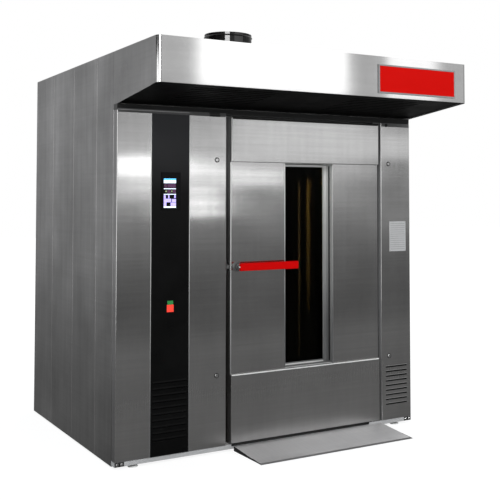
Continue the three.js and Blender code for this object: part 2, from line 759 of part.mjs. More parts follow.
/** The dark panel with its louvred foot. */
function blackPanel() {
  const x0 = BLACK_X0 + FIT;
  const x1 = BLACK_X1 - FIT;
  const y1 = BLACK_PANEL_DEPTH;
  const slab = block(x0, x1, 0, y1, ON_BASE + FIT, COLUMN_TOP - FIT);
  const slots = louvres(
    x0 + PANEL_SLOT_MARGIN,
    x1 - PANEL_SLOT_MARGIN,
    -1,
    y1 + 1,
    PANEL_SLOTS,
    PANEL_SLOT_LOW,
    PANEL_SLOT_PITCH,
    PANEL_SLOT_HEIGHT,
  );
  return cut(slab, ...slots);
}

/** Right column: lift-off tray with its louvres. */
function rightColumn() {
  const x0 = RIGHT_COLUMN_X0;
  const lockX = x0 + LOCK_INSET;
  const slots = louvres(
    x0 + COLUMN_SLOT_MARGIN,
    RIGHT - COLUMN_SLOT_MARGIN,
    -1,
    SHEET + 1,
    COLUMN_SLOTS,
    COLUMN_SLOT_LOW,
    COLUMN_SLOT_PITCH,
    COLUMN_SLOT_HEIGHT,
  );
  return cut(
    columnTray(x0, RIGHT),
    ...slots,
    barY(lockX, LOCK_HIGH, LOCK_SHAFT_RADIUS + RUN, -1, SHEET + 1),
    barY(lockX, LOCK_LOW, LOCK_SHAFT_RADIUS + RUN, -1, SHEET + 1),
  );
}

const display = {
  x0: BLACK_X0 + DISPLAY_LEFT,
  x1: BLACK_X0 + DISPLAY_LEFT + DISPLAY_WIDTH,
  z0: DISPLAY_LOW,
  z1: DISPLAY_LOW + DISPLAY_HEIGHT,
};
const screen = {
  x0: display.x0 + DISPLAY_BORDER,
  x1: display.x1 - DISPLAY_BORDER,
  z0: display.z0 + DISPLAY_BORDER,
  z1: display.z1 - DISPLAY_BORDER,
};

/** Bezel of the touch screen. */
function displayBezel() {
  const outer = rectangle(display.x0, display.x1, display.z0, display.z1);
  const hole = rectangle(screen.x0, screen.x1, screen.z0, screen.z1);
  return runY(outline(outer, [hole]), -DISPLAY_PROUD, -FIT);
}

/** Back plate of the electrical compartment, with rails, trunking and switchgear on it. */
function electricalPlate() {
  const y1 = BULKHEAD_FRONT - FIT;
  const x0 = INNER_LEFT + PLATE_INSET * 1.5;
  const x1 = HEAT_X1 - PLATE_INSET;
  const z1 = COLUMN_TOP - PLATE_UNDER_TOP;
  const edge = PLATE_SHEET * 3;
  const back = y1 - PLATE_SHEET + 1;
  const half = SWITCH_HEIGHT / 2;
  const rowPitch = (z1 - PLATE_LOW - SWITCH_RISE) / SWITCH_ROWS;
  const plate = block(x0, x1, y1 - PLATE_SHEET, y1, PLATE_LOW, z1);
  const gear = series(SWITCH_ROWS, PLATE_LOW + SWITCH_RISE, rowPitch).flatMap((z, row) => {
    const count = 5 - (row % 2);
    const pitch = (x1 - x0) / count;
    const front = y1 - SWITCH_DEPTH - edge * (row % 3);
    const units = series(count, x0 + pitch / 2, pitch).map((x) =>
      block(x - pitch * 0.36, x + pitch * 0.36, front, y1 - edge, z - half, z + half),
    );
    const rail = block(x0 + edge, x1 - edge, y1 - edge - 2, back, z - half / 3, z + half / 3);
    const duct = z + TRUNKING_RISE;
    const trunking = block(x0 + edge, x1 - edge, y1 - SWITCH_DEPTH * 0.7, back, duct, duct + TRUNKING_HEIGHT);
    return [rail, trunking, ...units];
  });
  return join(plate, ...gear);
}

const serviceLockX = LEFT_COLUMN_RIGHT - LOCK_INSET;
const columnLockX = RIGHT_COLUMN_X0 + LOCK_INSET;
place("service_door", serviceDoor(), "steel");
place("black_panel", blackPanel(), "black");
place("display_bezel", displayBezel(), "black");
place(
  "display_screen",
  block(screen.x0 + FIT, screen.x1 - FIT, FIT - DISPLAY_PROUD / 2, -FIT, screen.z0 + FIT, screen.z1 - FIT),
  "screen",
);
place("service_lock_upper", lock(serviceLockX, LOCK_HIGH), "paleSteel");
place("service_lock_lower", lock(serviceLockX, LOCK_LOW), "paleSteel");
place("right_column", rightColumn(), "steel");
place("column_lock_upper", lock(columnLockX, LOCK_HIGH), "paleSteel");
place("column_lock_lower", lock(columnLockX, LOCK_LOW), "paleSteel");
place("electrical_plate", electricalPlate(), "cast");

// ---------------------------------------------------------------- door

/** Outer shell: proud head and foot, recessed middle zone with the window cut-out. */
function doorSkin() {
  const x0 = DOOR_X0;
  const x1 = DOOR_X1;
  const shell = block(x0, x1, 0, DOOR_SHELL_DEPTH, DOOR_LOW, DOOR_TOP);
  const middle = block(x0 - 1, x1 + 1, -1, DOOR_MID_RECESS, DOOR_MID_LOW, DOOR_MID_TOP);
  const inner = (y, z0, z1) => block(x0 + SHEET, x1 - SHEET, y, DOOR_SHELL_DEPTH + 1, z0, z1);
  const window = block(WINDOW.x0, WINDOW.x1, -1, DOOR_SHELL_DEPTH, WINDOW.z0 + FIT, WINDOW.z1 - FIT);
  return cut(
    shell,
    middle,
    inner(SHEET, DOOR_LOW + SHEET, DOOR_MID_LOW - SHEET),
    inner(DOOR_MID_RECESS + SHEET, DOOR_MID_LOW - SHEET - 1, DOOR_MID_TOP + SHEET + 1),
    inner(SHEET, DOOR_MID_TOP + SHEET, DOOR_TOP - SHEET),
    window,
    barZ(PIVOT_X, PIVOT_Y, PIVOT_RADIUS + RUN, 0, CABINET_HEIGHT, 20).intersect(
      join(
        block(x0, x1, 0, DOOR_SHELL_DEPTH, 0, DOOR_LOW + SHEET + 1),
        block(x0, x1, 0, DOOR_SHELL_DEPTH, DOOR_TOP - SHEET - 1, CABINET_HEIGHT),
      ),
    ),
    barY(HANDLE_AT_X, HANDLE_Z, SPINDLE_RADIUS + RUN, 0, DOOR_MID_RECESS + SHEET + 1),
    block(
      x0 - 1,
      x0 + SHEET + 1,
      latchY0 - RUN,
      latchY0 + BOLT_DEPTH + RUN,
      HANDLE_Z - BOLT_HEIGHT / 2 - RUN,
      HANDLE_Z + BOLT_HEIGHT / 2 + RUN,
    ),
  );
}

/** Inner pan: the filled back of the shell, and the plug that enters the doorway. */
function doorCore() {
  const y0 = DOOR_MID_RECESS + SHEET + FIT;
  const gap = SHEET + FIT;
  const flange = block(DOOR_X0 + gap, DOOR_X1 - gap, y0, DOOR_SHELL_DEPTH, DOOR_LOW + gap, DOOR_TOP - gap);
  const plug = block(PLUG.x0, PLUG.x1, DOOR_SHELL_DEPTH - 1, DOOR_THICKNESS, PLUG.z0, PLUG.z1);
  const tunnel = block(
    WINDOW.x0 - FIT,
    WINDOW.x1 + FIT,
    0,
    DOOR_THICKNESS + 1,
    WINDOW.z0 - FIT,
    WINDOW.z1 + FIT,
  );
  const bush = barZ(PIVOT_X, PIVOT_Y, PIVOT_RADIUS + RUN, 0, CABINET_HEIGHT, 20);
  const lockPocket = block(
    DOOR_X0,
    DOOR_X0 + BOLT_LENGTH + BOLT_THROW,
    0,
    latchY0 + BOLT_DEPTH + RUN,
    HANDLE_Z - BOLT_HEIGHT,
    HANDLE_Z + BOLT_HEIGHT,
  );
  return cut(join(flange, plug), tunnel, bush, lockPocket);
}

/** Deep stainless surround of the window, with the lip that holds the outer glass. */
function windowReveal() {
  const y0 = DOOR_MID_RECESS - 4;
  const a = [WINDOW.x0 + FIT, WINDOW.x1 - FIT, WINDOW.z0 + 2 * FIT, WINDOW.z1 - 2 * FIT];
  const inside = (w) => rectangle(a[0] + w, a[1] - w, a[2] + w, a[3] - w);
  const tube = runY(outline(inside(0), [inside(REVEAL_WALL)]), y0, DOOR_THICKNESS);
  const lip = runY(
    outline(inside(REVEAL_WALL / 2), [inside(REVEAL_WALL + REVEAL_LIP)]),
    REVEAL_LIP_AT,
    REVEAL_LIP_AT + REVEAL_LIP_DEPTH,
  );
  return join(tube, lip);
}

/** A pane that fits inside the reveal, from y0. */
function pane(y0) {
  const w = REVEAL_WALL + 2 * FIT;
  return block(WINDOW.x0 + w, WINDOW.x1 - w, y0, y0 + GLASS, WINDOW.z0 + w + FIT, WINDOW.z1 - w - FIT);
}

/** Closed seal on the back of the shell's rim. */
function doorGasket() {
  const rim = (w, low) =>
    rectangle(DOOR_X0 + GASKET_INSET + w, DOOR_X1 - GASKET_INSET - w, low, DOOR_TOP - GASKET_INSET - w);
  const outer = rim(0, DOOR_LOW + SHEET);
  const hole = rim(GASKET_WIDTH, PLUG.z0 - SHEET);
  return runY(outline(outer, [hole]), DOOR_SHELL_DEPTH + FIT, FACE_DEPTH - FIT);
}

/** Pivot bracket: a plate with its pin. up is 1 for the lower one and -1 for the upper one. */
function hingeBracket(z, up) {
  const plate = block(PIVOT_X - 24, PIVOT_X + 24, BASE_SETBACK + 2, FACE_DEPTH - 8, z, z + BRACKET_PLATE);
  const near = up > 0 ? z + BRACKET_PLATE - 1 : z + 1;
  const far = near + up * PIVOT_LENGTH;
  return join(plate, barZ(PIVOT_X, PIVOT_Y, PIVOT_RADIUS, Math.min(near, far), Math.max(near, far), 16));
}

/** Turned head and spindle of the handle, with the lug that drives the bolt. */
function handleLever() {
  const front = DOOR_MID_RECESS - HANDLE_STANDOFF - HANDLE_DEPTH / 2 - 4;
  const back = DOOR_MID_RECESS - ESCUTCHEON_DEPTH - RUN;
  return turnY(HANDLE_AT_X, HANDLE_Z, [
    [0, front],
    [HANDLE_HEAD_RADIUS - 3, front],
    [HANDLE_HEAD_RADIUS, front + 3],
    [HANDLE_HEAD_RADIUS, back - 6],
    [HANDLE_HEAD_RADIUS - 4, back],
    [SPINDLE_RADIUS, back],
    [SPINDLE_RADIUS, latchY0 - RUN],
    [0, latchY0 - RUN],
  ]);
}

/** The red grip: a flat bar with rounded edges, socketed on the turned head. */
function handleGrip() {
  const y1 = DOOR_MID_RECESS - HANDLE_STANDOFF + HANDLE_DEPTH / 2;
  const y0 = y1 - HANDLE_DEPTH;
  const r = 7;
  const corners = [
    [y1 - r, HANDLE_Z + HANDLE_HEIGHT / 2 - r, 0],
    [y0 + r, HANDLE_Z + HANDLE_HEIGHT / 2 - r, 1],
    [y0 + r, HANDLE_Z - HANDLE_HEIGHT / 2 + r, 2],
    [y1 - r, HANDLE_Z - HANDLE_HEIGHT / 2 + r, 3],
  ];
  const points = corners.flatMap(([y, z, quarter]) =>
    series(4, quarter * 90, 30).map((deg) => {
      const angle = THREE.MathUtils.degToRad(deg);
      return [y + r * Math.cos(angle), z + r * Math.sin(angle)];
    }),
  );
  const end = HANDLE_AT_X + HANDLE_LENGTH;
  const bar = runX(outline(points), HANDLE_AT_X - HANDLE_HEAD_RADIUS / 2, end);
  const hollow = block(
    HANDLE_AT_X - HANDLE_HEAD_RADIUS,
    end - HANDLE_WALL,
    y0 + HANDLE_WALL,
    y1 - HANDLE_WALL,
    HANDLE_Z - HANDLE_HEIGHT / 2 + HANDLE_WALL,
    HANDLE_Z + HANDLE_HEIGHT / 2 - HANDLE_WALL,
  );
  return cut(bar, hollow, barY(HANDLE_AT_X, HANDLE_Z, HANDLE_HEAD_RADIUS + FIT, y0 - 20, y1 + 20, 24));
}

const latchY0 = DOOR_MID_RECESS + SHEET + 8;

/** Round rose on the door's face, behind the handle. */
function escutcheon() {
  const back = DOOR_MID_RECESS - FIT;
  const front = DOOR_MID_RECESS - ESCUTCHEON_DEPTH;
  const bore = SPINDLE_RADIUS + RUN;
  return turnY(HANDLE_AT_X, HANDLE_Z, [
    [bore, front],
    [ESCUTCHEON_RADIUS - 6, front],
    [ESCUTCHEON_RADIUS, front + 5],
    [ESCUTCHEON_RADIUS, back],
    [bore, back],
  ]);
}

/** Latch bolt, bevelled on its closing side. */
function latchBolt() {
  const x0 = DOOR_X0 - BOLT_THROW;
  const x1 = x0 + BOLT_LENGTH;
  const y1 = latchY0 + BOLT_DEPTH;
  const shape = outline([
    [x0 + BOLT_DEPTH / 2, y1],
    [x0, y1 - BOLT_DEPTH / 2],
    [x0, latchY0],
    [x1, latchY0],
    [x1, y1],
  ]);
  return riseZ(shape, HANDLE_Z - BOLT_HEIGHT / 2, HANDLE_Z + BOLT_HEIGHT / 2);
}

/** Keeper on the jamb, just behind the bolt. */
function latchKeeper() {
  const x0 = LEFT_COLUMN_RIGHT + 4;
  const x1 = DOOR_X0 - 4;
  const z0 = HANDLE_Z - KEEPER_HEIGHT / 2;
  const y0 = latchY0 + BOLT_DEPTH + 2;
  const base = block(x0, x1, FACE_DEPTH - 5, FACE_DEPTH - FIT, z0, z0 + KEEPER_HEIGHT);
  const nose = block(x0 + 5, x1 - 3, y0, FACE_DEPTH - 4, HANDLE_Z - BOLT_HEIGHT, HANDLE_Z + BOLT_HEIGHT);
  return join(base, nose);
}

place("door_skin", doorSkin(), "steel");
place("door_core", doorCore(), "paleSteel");
place("window_reveal", windowReveal(), "paleSteel");
place("outer_glass", pane(REVEAL_LIP_AT + REVEAL_LIP_DEPTH + FIT), "glass");
place("inner_glass", pane(DOOR_THICKNESS - GLASS - 2), "glass");
place("door_gasket", doorGasket(), "rubber");
place("hinge_bracket_bottom", hingeBracket(ON_BASE, 1), "paleSteel");
place("hinge_bracket_top", hingeBracket(COLUMN_TOP - BRACKET_PLATE, -1), "paleSteel");
place("handle_escutcheon", escutcheon(), "paleSteel");
place("handle_lever", handleLever(), "paleSteel");
place("handle_grip", handleGrip(), "red");
place("latch_bolt", latchBolt(), "paleSteel");
place("latch_keeper", latchKeeper(), "paleSteel");

// ---------------------------------------------------------------- hood

/** Side profile of the hood, grown inwards by w and cut off below at the drop. */
function hoodProfile(w, drop) {
  const front = -HOOD_OVERHANG + w;
  const back = FACE_DEPTH - w;
  return outline([
    [front, CABINET_HEIGHT - w],
    [front, FASCIA_LOW - drop],
    [0, HOOD_REAR_LOW - drop],
    [back, HOOD_REAR_LOW - drop],
    [back, CABINET_HEIGHT - w],
  ]);
}

/** Plan of the hood with its two rounded front corners, grown inwards by w. */
function hoodPlan(w) {
  const r = HOOD_CORNER - w;
  const x = HALF_WIDTH - HOOD_CORNER;
  const y = -HOOD_OVERHANG + HOOD_CORNER;
  const shape = new THREE.Shape();
  shape.moveTo(HALF_WIDTH - w, FACE_DEPTH + 1);
  shape.lineTo(w - HALF_WIDTH, FACE_DEPTH + 1);
  shape.absarc(-x, y, r, Math.PI, 1.5 * Math.PI, false);
  shape.absarc(x, y, r, 1.5 * Math.PI, 2 * Math.PI, false);
  return shape;
}

/** A plan drawn up through the hood's whole height. */
function hoodColumn(w) {
  const geometry = new THREE.ExtrudeGeometry(hoodPlan(w), {
    depth: HOOD_REAR_HEIGHT + 200,
    bevelEnabled: false,
    curveSegments: 6,
  });
  geometry.translate(0, 0, HOOD_REAR_LOW - 100);
  return solid(geometry);
}

/** Canopy: fascia, top, cheeks and back in one folded shell, open below. */
function hoodShell() {
  const outer = hoodColumn(0).intersect(runX(hoodProfile(0, 0), LEFT - 1, RIGHT + 1));
  const inner = hoodColumn(HOOD_SHEET).intersect(runX(hoodProfile(HOOD_SHEET, 60), LEFT, RIGHT));
  // The side cassettes stand behind the cheeks, so the cheeks end at the front face's depth.
  return cut(
    outer,
    inner,
    barZ(SPIGOT_X, SPIGOT_Y, SPIGOT_RADIUS, CABINET_HEIGHT - 20, CABINET_HEIGHT + 1, 32),
    block(LEFT - 1, RIGHT + 1, FACE_DEPTH - FIT, FACE_DEPTH + 2, HOOD_REAR_LOW - 1, CABINET_HEIGHT + 1),
  );
}

/** Dark suction panel inside the canopy's mouth, with its slots near the doorway. */
function hoodUnderside() {
  const t = HOOD_SHEET;
  const y0 = -HOOD_OVERHANG + t + FIT;
  const y1 = FACE_DEPTH - t - 2 * FIT;
  const z = (y) => {
    const share = Math.min(1, (y + HOOD_OVERHANG) / HOOD_OVERHANG);
    return FASCIA_LOW + (HOOD_REAR_LOW - FASCIA_LOW) * share + UNDERSIDE_RAISE;
  };
  const section = outline([
    [y0, z(y0)],
    [0, z(0)],
    [y1, z(y1)],
    [y1, z(y1) + t],
    [0, z(0) + t],
    [y0, z(y0) + t],
  ]);
  const panel = runX(section, LEFT, RIGHT).intersect(hoodColumn(t + FIT));
  const span = (UNDERSIDE_SLOTS - 1) * UNDERSIDE_SLOT_PITCH;
  const slots = [-1, 1].flatMap((side) =>
    series(UNDERSIDE_SLOTS, -HOOD_OVERHANG / 2 - span / 2, UNDERSIDE_SLOT_PITCH).map((y) =>
      block(
        side * (HALF_WIDTH / 2) - HALF_WIDTH / 4,
        side * (HALF_WIDTH / 2) + HALF_WIDTH / 4,
        y - UNDERSIDE_SLOT_WIDTH / 2,
        y + UNDERSIDE_SLOT_WIDTH / 2,
        HOOD_REAR_LOW - 50,
        CABINET_HEIGHT - 60,
      ),
    ),
  );
  return cut(panel, ...slots);
}

/** Exhaust collar with its flange and beaded mouth, and the spider that carries the fan motor. */
function flueSpigot() {
  const z0 = CABINET_HEIGHT + FIT;
  const z1 = CABINET_HEIGHT + SPIGOT_HEIGHT;
  const bore = SPIGOT_RADIUS - SHEET;
  const collar = turnZ(
    SPIGOT_X,
    SPIGOT_Y,
    [
      [bore, z0],
      [SPIGOT_RADIUS + SPIGOT_FLANGE, z0],
      [SPIGOT_RADIUS + SPIGOT_FLANGE, z0 + 3],
      [SPIGOT_RADIUS, z0 + 3],
      [SPIGOT_RADIUS, z1 - 20],
      [SPIGOT_RADIUS + 4, z1 - 16],
      [SPIGOT_RADIUS, z1 - 12],
      [SPIGOT_RADIUS, z1],
      [bore, z1],
    ],
    32,
  );
  const motor = turnZ(
    SPIGOT_X,
    SPIGOT_Y,
    [
      [0, z0 - EXTRACTOR_MOTOR_DROP],
      [EXTRACTOR_MOTOR, z0 - EXTRACTOR_MOTOR_DROP],
      [EXTRACTOR_MOTOR, z0 + EXTRACTOR_MOTOR_DROP],
      [EXTRACTOR_MOTOR * 0.75, z0 + EXTRACTOR_MOTOR_DROP * 1.4],
      [0, z0 + EXTRACTOR_MOTOR_DROP * 1.4],
    ],
    20,
  );
  const from = EXTRACTOR_MOTOR * 0.85;
  const arms = series(3, 90, 120).map((deg) => {
    const arm = new THREE.BoxGeometry(bore - from + 1, EXTRACTOR_ARM / 2, EXTRACTOR_ARM);
    arm.translate((bore + from + 1) / 2, 0, 0);
    arm.rotateZ(THREE.MathUtils.degToRad(deg));
    arm.translate(SPIGOT_X, SPIGOT_Y, z0 + EXTRACTOR_MOTOR_DROP / 2);
    return solid(arm);
  });
  return join(collar, motor, ...arms);
}

/** Axial extractor wheel: hub and pitched blades. */
function hoodFan() {
  const top = CABINET_HEIGHT + FIT - EXTRACTOR_MOTOR_DROP - RUN;
  const hub = turnZ(
    SPIGOT_X,
    SPIGOT_Y,
    [
      [0, top - EXTRACTOR_HEIGHT],
      [EXTRACTOR_HUB * 0.6, top - EXTRACTOR_HEIGHT],
      [EXTRACTOR_HUB, top - EXTRACTOR_HEIGHT * 0.8],
      [EXTRACTOR_HUB, top],
      [0, top],
    ],
    20,
  );
  const root = EXTRACTOR_HUB * 0.8;
  const span = SPIGOT_RADIUS - EXTRACTOR_TIP_GAP - root;
  const blades = series(6, 0, 60).map((deg) => {
    const blade = new THREE.BoxGeometry(span, EXTRACTOR_CHORD, EXTRACTOR_BLADE);
    blade.rotateX(THREE.MathUtils.degToRad(32));
    blade.translate(span / 2 + root, 0, 0);
    blade.rotateZ(THREE.MathUtils.degToRad(deg));
    blade.translate(SPIGOT_X, SPIGOT_Y, top - EXTRACTOR_HEIGHT * 0.43);
    return solid(blade);
  });
  return join(hub, ...blades);
}

const badgeFront = -HOOD_OVERHANG - BADGE_DEPTH - FIT;
place("hood_shell", hoodShell(), "steel");
place("hood_underside", hoodUnderside(), "darkSteel");
place("flue_spigot", flueSpigot(), "darkSteel");
place("hood_fan", hoodFan(), "cast");
place(
  "badge_plate",
  block(
    RIGHT - BADGE_RIGHT - BADGE_WIDTH,
    RIGHT - BADGE_RIGHT,
    badgeFront,
    -HOOD_OVERHANG - FIT,
    BADGE_LOW,
    BADGE_LOW + BADGE_HEIGHT,
  ),
  "red",
);

// ---------------------------------------------------------------- baking chamber

/** Floor slab with the round recess that the turntable runs in. */
function chamberFloor() {
  const chamberPart = block(HEAT_X1, CHAMBER_X1 + DUCT_DEPTH, CHAMBER_Y0, HEAT_Y1, ON_BASE, FLOOR_Z);
  const heatPart = block(HEAT_X0, HEAT_X1 + 1, HEAT_Y0, HEAT_Y1, ON_BASE, FLOOR_Z);
  const seat = barZ(
    TURN_X,
    TURN_Y,
    TURNTABLE_RADIUS + TURNTABLE_GAP,
    FLOOR_Z - TURNTABLE_THICKNESS - RUN,
    FLOOR_Z + 1,
    64,
  );
  return cut(join(chamberPart, heatPart), seat);
}

/** Welded liner: left wall with the return grille, swaged rear wall and ceiling. */
function chamberLiner() {
  const z0 = FLOOR_Z + FIT;
  const z1 = PLENUM_TOP - FIT;
  const y0 = CHAMBER_Y0;
  const left = block(HEAT_X1, CHAMBER_X0, y0, CHAMBER_Y1 + LINER_WALL, z0, z1);
  const rear = block(HEAT_X1, CHAMBER_X1 - FIT, CHAMBER_Y1, CHAMBER_Y1 + LINER_WALL, z0, z1);
  const ceiling = block(HEAT_X1, CHAMBER_X1 - FIT, y0, CHAMBER_Y1 + 1, CEILING_Z, CEILING_Z + LINER_WALL);
  const swages = series(3, CHAMBER_X0 + CHAMBER_WIDTH / 4, CHAMBER_WIDTH / 4).map((x) =>
    riseZ(
      outline([
        [x - 60, CHAMBER_Y1 + 1],
        [x - 40, CHAMBER_Y1 - 10],
        [x + 40, CHAMBER_Y1 - 10],
        [x + 60, CHAMBER_Y1 + 1],
      ]),
      z0 + 60,
      CEILING_Z - 60,
    ),
  );
  const slotY0 = HEAT_Y0 + GRILLE_PITCH;
  const slotY1 = CHAMBER_Y1 - GRILLE_PITCH * 2.5;
  const grille = series(GRILLE_SLOTS, GRILLE_LOW, GRILLE_PITCH).map((z) =>
    block(HEAT_X1 - 1, CHAMBER_X0 + 1, slotY0, slotY1, z, z + GRILLE_PITCH * 0.4),
  );
  const overCeiling = CEILING_Z + PLENUM_RIM;
  const toPlenum = block(HEAT_X1 - 1, CHAMBER_X0 + 1, slotY0, slotY1, overCeiling, z1 - PLENUM_RIM / 2);
  return cut(
    join(left, rear, ceiling, ...swages),
    ...grille,
    toPlenum,
    barZ(TURN_X, TURN_Y, SHAFT_RADIUS + 6, CEILING_Z - 1, CEILING_Z + LINER_WALL + 1),
  );
}

/** Hot air duct that forms the chamber's right wall, with columns of upright slots. */
function supplyDuct() {
  const x0 = CHAMBER_X1;
  const x1 = CHAMBER_X1 + DUCT_DEPTH;
  const y0 = CHAMBER_Y0;
  const y1 = HEAT_Y1 - FIT;
  const z0 = FLOOR_Z + FIT;
  const z1 = PLENUM_TOP - FIT;
  const t = DUCT_SHEET;
  const shell = block(x0, x1, y0, y1, z0, z1);
  const hollow = block(x0 + t, x1 - t, y0 + t, y1 - t, z0 + t, z1 - t);
  const first = (y0 + CHAMBER_Y1) / 2 - ((DUCT_COLUMNS - 1) * DUCT_PITCH) / 2;
  const rowPitch = (DUCT_SLOT_TOP - DUCT_SLOT_LOW + DUCT_SLOT_GAP) / DUCT_SLOT_ROWS;
  const half = DUCT_SLOT_WIDTH / 2;
  const slots = series(DUCT_COLUMNS, first, DUCT_PITCH).flatMap((y) =>
    series(DUCT_SLOT_ROWS, DUCT_SLOT_LOW, rowPitch).map((z) =>
      block(x0 - 1, x0 + t + 1, y - half, y + half, z, z + rowPitch - DUCT_SLOT_GAP),
    ),
  );
  const rim = PLENUM_RIM;
  const inlet = block(x0 - 1, x0 + t + 1, y0 + rim * 3, CHAMBER_Y1 - rim * 3, CEILING_Z + rim, z1 - rim / 2);
  return cut(shell, hollow, ...slots, inlet);
}

/** Mineral wool round the hot space: left, right, rear, roof and the bulkhead. */
function insulationJacket() {
  const z0 = ON_BASE;
  const z1 = ROOF_LOW - FIT;
  const y0 = HEAT_Y1 + FIT;
  const y1 = y0 + REAR_INSULATION;
  const rear = block(INNER_LEFT, INNER_RIGHT, y0, y1, z0, z1);
  const left = block(INNER_LEFT, HEAT_X0 - FIT, BULKHEAD_FRONT, y0 + 1, z0, z1);
  const right = block(CHAMBER_X1 + DUCT_DEPTH + FIT, INNER_RIGHT, CHAMBER_Y0, y0 + 1, z0, z1);
  const bulkhead = block(INNER_LEFT, HEAT_X1 - FIT, BULKHEAD_FRONT, HEAT_Y0 - FIT, z0, z1);
  const roof = block(INNER_LEFT, INNER_RIGHT, CHAMBER_Y0, y0 + 1, PLENUM_TOP, z1);
  const roofClear = block(INNER_LEFT - 1, HEAT_X1 - FIT, 0, BULKHEAD_FRONT, z0, z1 + 1);
  return cut(
    join(rear, left, right, bulkhead, cut(roof, roofClear)),
    barZ(TURN_X, TURN_Y, SHAFT_RADIUS + 6, PLENUM_TOP - 1, z1 + 1),
    barZ(FAN_X, FAN_Y, FAN_SHAFT_RADIUS + 6, PLENUM_TOP - 1, z1 + 1),
  );
}

/** Chamber lamp: ring and domed glass on the left wall. */
function chamberLamp() {
  const x = CHAMBER_X0 + FIT;
  const y = CHAMBER_Y0 + 180;
  const z = CEILING_Z - LAMP_DROP;
  const dome = new THREE.LatheGeometry(
    [
      [0, 0],
      [52, 0],
      [52, 6],
      [40, 8],
      [34, 14],
      [20, 20],
      [0, 22],
    ].map(([r, h]) => new THREE.Vector2(r, h)),
    24,
  );
  dome.rotateZ(-Math.PI / 2);
  dome.translate(x, y, z);
  return solid(dome);
}

place("chamber_floor", chamberFloor(), "steel");
place("chamber_liner", chamberLiner(), "steel");
place("supply_duct", supplyDuct(), "steel");
place("insulation_jacket", insulationJacket(), "wool");
place("chamber_lamp", chamberLamp(), "lamp");

// ---------------------------------------------------------------- turntable and drive

/** Round platform with the two wheel guides and the stop that hold a rack. */
function turntable() {
  const z1 = FLOOR_Z;
  const z0 = z1 - TURNTABLE_THICKNESS;
  const disc = turnZ(
    TURN_X,
    TURN_Y,
    [
      [0, z0],
      [TURNTABLE_RADIUS, z0],
      [TURNTABLE_RADIUS, z1 - 3],
      [TURNTABLE_RADIUS - 3, z1],
      [0, z1],
    ],
    64,
  );
  const half = GUIDE_SPACING / 2;
  const guides = [-1, 1].map((side) =>
    block(
      TURN_X + side * half - GUIDE_WIDTH / 2,
      TURN_X + side * half + GUIDE_WIDTH / 2,
      TURN_Y - TURNTABLE_RADIUS * 0.7,
      TURN_Y + TURNTABLE_RADIUS * 0.75,
      z1 - 1,
      z1 + GUIDE_HEIGHT,
    ),
  );
  const stop = block(
    TURN_X - half,
    TURN_X + half,
    TURN_Y + TURNTABLE_RADIUS * 0.75 - GUIDE_WIDTH,
    TURN_Y + TURNTABLE_RADIUS * 0.75,
    z1 - 1,
    z1 + GUIDE_HEIGHT * 1.5,
  );
  return join(disc, ...guides, stop);
}

/** Two uprights, the cross beam over them and the shaft that hangs them from the roof. */
function carouselYoke() {
  const z0 = FLOOR_Z + FIT;
  const outer = TURNTABLE_RADIUS - UPRIGHT_INSET;
  const beamLow = YOKE_TOP - UPRIGHT * 1.5;
  const beam = block(TURN_X - outer, TURN_X + outer, TURN_Y - UPRIGHT, TURN_Y + UPRIGHT, beamLow, YOKE_TOP);
  const uprights = [-1, 1].map((side) => {
    const a = TURN_X + side * outer;
    const b = TURN_X + side * (outer - UPRIGHT);
    return block(Math.min(a, b), Math.max(a, b), TURN_Y - UPRIGHT / 2, TURN_Y + UPRIGHT / 2, z0, YOKE_TOP - 20);
  });
  const feet = [-1, 1].map((side) => {
    const a = TURN_X + side * outer;
    const b = TURN_X + side * (outer - UPRIGHT * 2);
    return block(Math.min(a, b), Math.max(a, b), TURN_Y - UPRIGHT * 2, TURN_Y + UPRIGHT * 2, z0, z0 + 6);
  });
  const shaft = turnZ(TURN_X, TURN_Y, [
    [0, YOKE_TOP - 50],
    [SHAFT_RADIUS + 22, YOKE_TOP - 50],
    [SHAFT_RADIUS + 22, YOKE_TOP + 12],
    [SHAFT_RADIUS, YOKE_TOP + 16],
    [SHAFT_RADIUS, GEAR_Z + GEAR_FACE + 8],
    [0, GEAR_Z + GEAR_FACE + 8],
  ]);
  return join(beam, ...uprights, ...feet, shaft);
}

/** Corner points of an involute gear round the origin, with the first tooth at angle `phase`.
 * A fine flank has one more point on it, for a wheel with few teeth. */
function gearOutline(teeth, phase, fine) {
  const pressure = THREE.MathUtils.degToRad(20);
  const pitchR = (GEAR_MODULE * teeth) / 2;
  const baseR = pitchR * Math.cos(pressure);
  const tipR = pitchR + GEAR_MODULE;
  const rootR = pitchR - 1.25 * GEAR_MODULE;
  const involute = (r) => {
    const ratio = Math.sqrt(Math.max(0, (r / baseR) ** 2 - 1));
    return ratio - Math.atan(ratio);
  };
  const halfTooth = Math.PI / (2 * teeth) - BACKLASH / (2 * pitchR) + involute(pitchR);
  const flank = fine ? [pitchR + GEAR_MODULE * 0.3] : [];
  const radii = [Math.max(baseR, rootR), ...flank, tipR];
  const points = [];
  for (let i = 0; i < teeth; i += 1) {
    const centre = phase + (2 * Math.PI * i) / teeth;
    const side = (r) => halfTooth - involute(r);
    const at = (r, angle) => points.push([r * Math.cos(angle), r * Math.sin(angle)]);
    at(rootR, centre - side(radii[0]) - ROOT_SPREAD);
    radii.forEach((r) => at(r, centre - side(r)));
    [...radii].reverse().forEach((r) => at(r, centre + side(r)));
    at(rootR, centre + side(radii[0]) + ROOT_SPREAD);
  }
  return points;
}

